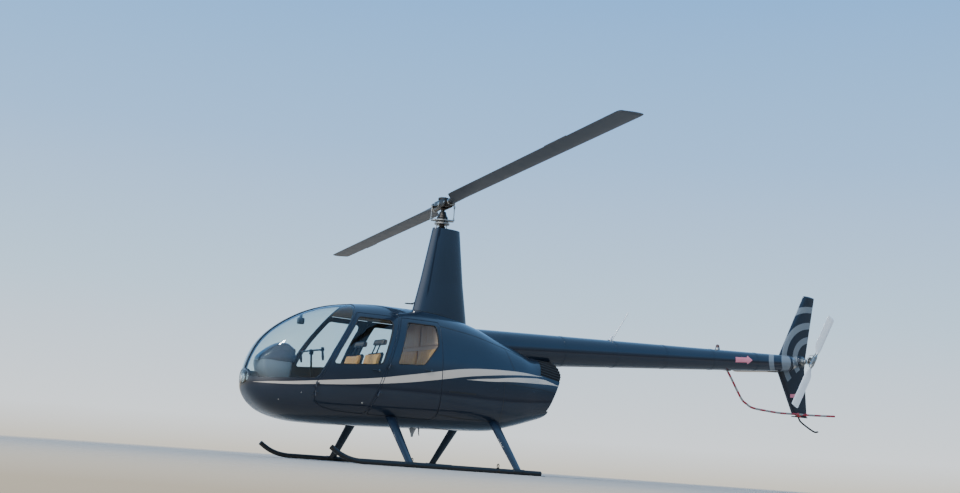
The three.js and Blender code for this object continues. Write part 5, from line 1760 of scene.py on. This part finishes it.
def buildControls():
    shape = Shape()
    shape.tube([(-1.499, 0, .6006), (-1.53, 0, .88), (-1.56, 0, 1.205)], [.013, .013, .012], 16, smooth=4)
    boot = [(0, .052), (.006, .054), (.016, .04), (.024, .044), (.034, .03), (.042, .034), (.056, .022),
            (.062, .014)]
    shape.turn(boot, (-1.4995, 0, .6005), (-.0305, 0, .2995), 24, slot=1)
    shape.block((-1.582, -.02, 1.196), (-1.538, .02, 1.256), .006)
    shape.tube([(-1.56, -.318, 1.24), (-1.56, 0, 1.243), (-1.56, .318, 1.24)], .0105, 16)
    for y in (-.33, .33):
        swells = [.01, .0135, .015, .0145, .0125, .014, .0155, .012]
        gripShape(shape, (-1.543, y, 1.118), (-1.566, y, 1.268), swells)
        shape.turn([(0, .018), (.03, .018)], (-1.56, y - .015, 1.24), plusY, 18)
        shape.turn([(0, .0045), (.006, .0045), (.007, .003)], (-1.548, y, 1.262), (.548, 0, .038), 12,
                   slot=2)
        shape.block((-1.583, y - .006, 1.222), (-1.571, y + .006, 1.25), .002)
    pieceFrom("cyclicStick", shape, [satinBlack, rubber, redPaint], "cyclic_control")
    lever = Shape()
    lever.turn([(0, .03), (.004, .034), (.02, .03), (.05, .022), (.08, .019), (.108, .018), (.114, .012)],
               (-1.19, -.037, .6005), plusZ, 24, slot=1)
    lever.tube([(-1.176, -.037, .693), (-1.33, -.037, .7775), (-1.484, -.037, .862)], .0115, 16)
    swells = [.012, .0155, .015, .016, .015, .016, .0155, .012]
    gripShape(lever, (-1.37, -.037, .7995), (-1.488, -.037, .8643), swells)
    lever.turn([(0, .016), (.016, .016), (.018, .012)], (-1.25, -.046, .7335), plusY, 20, slot=2)
    pieceFrom("collectiveStick", lever, [satinBlack, rubber, brightSteel], "collective_lever")
    for side, sign in (("left", 1), ("right", -1)):
        pedals = Shape()
        for y in (-.38, -.22):
            y *= sign
            pedals.tube([(-1.7985, y, .6006), (-1.815, y, .66), (-1.831, y, .724)], .0088, 12)
            pedals.block((-1.8415, y - .039, .691), (-1.8255, y + .039, .769), .005)
            for k in range(5):
                pedals.block((-1.8265, y - .034, .7 + k * .014), (-1.8235, y + .034, .706 + k * .014), .001,
                             slot=1)
        low, high = sorted((-.4 * sign, -.2 * sign))
        pedals.tube([(-1.801, low, .6165), (-1.801, high, .6165)], .0088, 12)
        pieceFrom(f"pedalPair_{side}", pedals, [castAluminium, rubber], f"pedals_{side}")


buildFrontSeats()
buildBench()
stage("seats built")
buildConsole()
buildControls()
stage("console and controls built")


# Doors' knuckles and handles, lamps, and the small pieces outside
hinges = {
    "front": {"low": (-1.694, -.578, .735), "high": (-1.694, -.578, .83)},
    "rear": {"low": (-.961, -.65, .79), "high": (-.854, -.65, 1.11)},
    "radius": .0078, "length": .032, "gap": .0002, "doorReach": .034, "bodyReach": .018,
}
handles = {"front": (-1.01, 1.05), "rear": (-.348, 1.11), "length": .092}


def addKnuckles(shape, place, side, sign):
    low, high = (Vector(hinges[place][key]) for key in ("low", "high"))
    axis = (high - low).normalized()
    for at in (low, high):
        start = at + axis * (hinges["gap"] if side > 0 else -hinges["length"] - hinges["gap"])
        end = start + axis * hinges["length"]
        flip = Matrix.Scale(sign, 4, (0, 1, 0))
        run, radius = hinges["length"], hinges["radius"]
        shape.turn([(0, radius * .8), (.0012, radius), (run - .0012, radius), (run, radius * .8)], start,
                   axis, 18, place=flip)
        middle = (start + end) / 2
        x0, x1 = middle.x, middle.x + hinges["doorReach"]
        if side < 0:
            x0, x1 = middle.x - hinges["bodyReach"], middle.x
        shape.block((x0, middle.y - .0045, middle.z - .0088), (x1, middle.y + .03, middle.z + .0088), .0015,
                    place=flip)


def buildDoorHardware():
    for side, sign in (("left", 1), ("right", -1)):
        fixed = Shape()
        for place in ("front", "rear"):
            addKnuckles(fixed, place, -1, sign)
            moving = Shape()
            addKnuckles(moving, place, 1, sign)
            x, z = handles[place]
            spot, out = skinSpot(x, z, -sign)
            along = Vector(plusX) - out * out.x
            along.normalize()
            half = handles["length"] / 2
            bow = ((-half, .003), (-half + .01, .011), (0, .0125), (half - .012, .01), (half, .006))
            grip = [spot + along * run + out * lift for run, lift in bow]
            moving.tube(grip, [.004, .0065, .007, .008, .0065], 14, smooth=4)
            pivot = spot + along * (half - .014)
            moving.turn([(-.002, .013), (.006, .013), (.01, .0115), (.014, .0105), (.0155, .007)], pivot,
                        out, 24, slot=1)
            pieceFrom(f"{place}DoorHardware_{side}", moving, [plainEnamel, brightSteel, rubber],
                      body=f"{place}_{side}_door")
        for x, z, radius in ((-1.136, .674, .0115), (-1.839, .729, .006), (-2.055, .638, .006)):
            spot, out = skinSpot(x, z, -sign)
            fixed.turn([(-.001, radius), (.0015, radius), (.0025, radius * .7)], spot, out, 20, slot=1)
        pieceFrom(f"bodyKnuckles_{side}", fixed, [plainEnamel, brightSteel])


def buildLamps():
    tub = shared(bodyObject("tub", .0095), prism("tubZone", ovalOutline(-.0008), -2.6, -2.215, axis="X"))
    hollow = shared(bodyObject("tubIn", .0005), prism("tubHollow", ovalOutline(-.0048), -2.6, -2.235,
            axis="X"))
    carved(tub, hollow)
    tub.name = "lampTub"
    toFrame(tub)
    finishPiece(tub, [satinBlack])
    cover = shared(bodyObject("cover", .0022), prism("coverZone", ovalOutline(-.0008), -2.6, -2.29,
            axis="X"))
    carved(cover, bodyObject("coverIn", .0075))
    skinPiece(cover, "lampCover", [acrylic], "landing_lamps")
    shape = Shape()
    for sign in (-1, 1):
        middle = Vector((-2.236, sign * lamps["spread"], lamps["z"]))
        r = lamps["radius"]
        shape.turn([(0, .018), (.02, .034), (.052, r * .92), (.072, r), (.074, r * 1.07), (.084, r * 1.07),
                    (.086, r * .98), (.073, r * .93), (.052, r * .84), (.024, .028), (.014, .012),
                    (.014, 0)], middle, minusX, 40)
        shape.turn([(.014, .008), (.04, .008), (.046, .005), (.047, 0)], middle, minusX, 16, slot=1)
    pieceFrom("lampReflectors", shape, [mirrorBowl, whitePaint])


def buildSmallPieces():
    pitot = Shape()
    pitot.tube([(-.418, 0, 1.9352), (-.39, 0, 1.9363), (-.31, 0, 1.9396)], [.0062, .0085, .0085], 16)
    pitot.tube([(-.335, 0, 1.9385), (-.3, 0, 1.952), (-.268, 0, 1.981)], [.0088, .0078, .007], 16, smooth=4)
    pieceFrom("pitotHead", pitot, [darkSteel], "pitot_tube")
    whip = Shape()
    z, radius = boomAt(2.6)
    whip.turn([(0, .026), (.006, .026), (.012, .021), (.04, .014), (.082, .011), (.088, .008)],
              (2.602, 0, z + radius - .003), (.046, 0, .083), 24)
    whip.tube([(2.638, 0, 1.826), (2.7, 0, 1.925), (2.8, 0, 2.084), (2.8755, 0, 2.2045)],
              [.0105, .01, .0092, .0085], 12)
    pieceFrom("whipAerial", whip, [whitePaint], "whip_antenna")
    beacon = Shape()
    z, radius = boomAt(4.424)
    top = z + radius
    beacon.turn([(-.004, .036), (.006, .036), (.01, .033), (.026, .032), (.028, .029)], (4.424, 0, top),
                plusZ, 32)
    height = 1.9595 - top
    beacon.turn([(.027, .029), (.03, .0295), (height - .03, .027), (height - .014, .023),
                 (height - .004, .014), (height, 0)], (4.424, 0, top), plusZ, 32, slot=1)
    for across, y in circle(4, .5):
        hexBolt(beacon, (4.424 + .03 * across, .03 * y, top + .01), plusZ, .003, .003, 0)
    pieceFrom("beaconLight", beacon, [castAluminium, smokedLens], "beacon")
    belly = Shape()
    belly.turn([(-.01, .044), (.004, .044), (.012, .038), (.06, .018), (.092, .014), (.096, .006)],
               (-.185, 0, .4475), minusZ, 28)
    belly.tube([(-.1, 0, .458), (-.098, 0, .4), (-.088, 0, .372)], [.009, .006, .005], 12, slot=1)
    pieceFrom("bellyAerials", belly, [greyPaint, satinBlack])


buildDoorHardware()
buildLamps()
buildSmallPieces()
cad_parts["engine_block"].data.materials.clear()
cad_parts["engine_block"].data.materials.append(darkSteel)
stage("small pieces built")


# Floor, light and air
studio = {
    "floor": "#a9a298", "floorTint": "#9f988e",
    "floorFade": (5.0, 16.0),  # it fades out between these distances
    "sky": [(0.0, "#c6c3bd"), (.4, "#bdb9b2"), (.455, "#a8a196"), (.484, "#b4ab99"), (.5, "#d6d2c6"),
            (.512, "#e6edf2"), (.56, "#c0dcf4"), (.62, "#97c3f2"), (.68, "#78b1ee"), (1.0, "#7ea4cc")],
    "skyStrength": 1.45, "aimZ": 1.4,  # height the lights are turned to
    # toward the light: direction, where it starts and ends, strength
    "glow": ((-.799, -.395, .453), .68, 1.0, 1.1),
    "lamp": ((-.55, -.246, .797), .9965, .9985, 110),  # the soft lamp itself, far away
    # a dark wall away from the light and low in the sky: direction, start, end, depth, top edge, bottom edge
    "shade": ((.455, -.89, 0), .35, .9, .72, (.1, .34), (-.2, -.05)),
    "shadeColour": "#1c2024",
    "lights": [  # name, place from the mast, size, power
        ("keyLight", (-9.5, -4.1, 12.5), 5.0, 500),
        ("fillLight", (4, -13, 5), 7, 200),
        ("backLight", (2, 10, 8), 6, 160),
    ],
}


def toward(tree, direction, low, high):  # rises from 0 to 1 as the air turns toward a direction
    air = addNode(tree, "TexCoord").outputs["Generated"]
    lean = addNode(tree, "VectorMath", {0: air, 1: Vector(direction)},
                   operation="DOT_PRODUCT").outputs["Value"]
    return spanned(tree, lean, (low, high), True)


def floorMaterial():
    material, tree, shader = newMaterial("paleFloor", studio["floor"], .8)
    place = objectPlace(tree)
    tone = blend(tree, noise(tree, place, 24.0, 5.0), linear(studio["floor"]), linear(studio["floorTint"]))
    tree.links.new(tone, shader.inputs["Base Color"])
    reach = addNode(tree, "VectorMath", {0: place}, operation="LENGTH").outputs["Value"]
    tree.links.new(spanned(tree, reach, (*studio["floorFade"], 1.0, 0.0), True), shader.inputs["Alpha"])
    return material


def skyColour(tree):
    height = addNode(tree, "SeparateXYZ",
                     {"Vector": addNode(tree, "TexCoord").outputs["Generated"]}).outputs["Z"]
    ramp = addNode(tree, "ValToRGB", {"Fac": spanned(tree, height, (-1.0, 1.0))})
    stops = ramp.color_ramp.elements
    while len(stops) < len(studio["sky"]):
        stops.new(.5)
    for stop, (spot, colour) in zip(stops, studio["sky"]):
        stop.position, stop.color = spot, linear(colour)
    direction, low, high, depth, fade, start = studio["shade"]
    near = spanned(tree, height, (*fade, depth, 0.0), True)
    above = spanned(tree, height, start, True)
    shade = calc(tree, "MULTIPLY", calc(tree, "MULTIPLY", toward(tree, direction, low, high), near), above)
    lit = blend(tree, shade, ramp.outputs[0], linear(studio["shadeColour"]))
    for part in ("glow", "lamp"):
        direction, low, high, power = studio[part]
        lean = toward(tree, direction, low, high)
        white = addNode(tree, "VectorMath", {0: (power, power, power), "Scale": lean}, operation="SCALE")
        lit = addNode(tree, "VectorMath", {0: lit, 1: white.outputs[0]}, operation="ADD").outputs[0]
    return lit


def buildStudio():
    size = studio["floorFade"][1] + 1
    ring = [(size * x, size * y, -.001) for x, y in circle(96)]
    floor = meshObject("studioFloor", ring, [tuple(range(96))], shift=False)
    floor.data.materials.append(floorMaterial())
    world = bpy.data.worlds.new("studioAir")
    world.use_nodes = True
    sky = world.node_tree.nodes["Background"]
    world.node_tree.links.new(skyColour(world.node_tree), sky.inputs["Color"])
    sky.inputs["Strength"].default_value = studio["skyStrength"]
    bpy.context.scene.world = world
    for name, place, size, power in studio["lights"]:
        data = bpy.data.lights.new(name, "AREA")
        data.size, data.energy = size, power
        light = linked(bpy.data.objects.new(name, data))
        light.location = Vector(place) + Vector((mastX, 0, 0))
        aim = Vector((mastX, 0, studio["aimZ"])) - light.location
        light.rotation_euler = aim.to_track_quat("-Z", "Y").to_euler()
        light.visible_glossy = False


buildStudio()
bpy.context.view_layer.update()
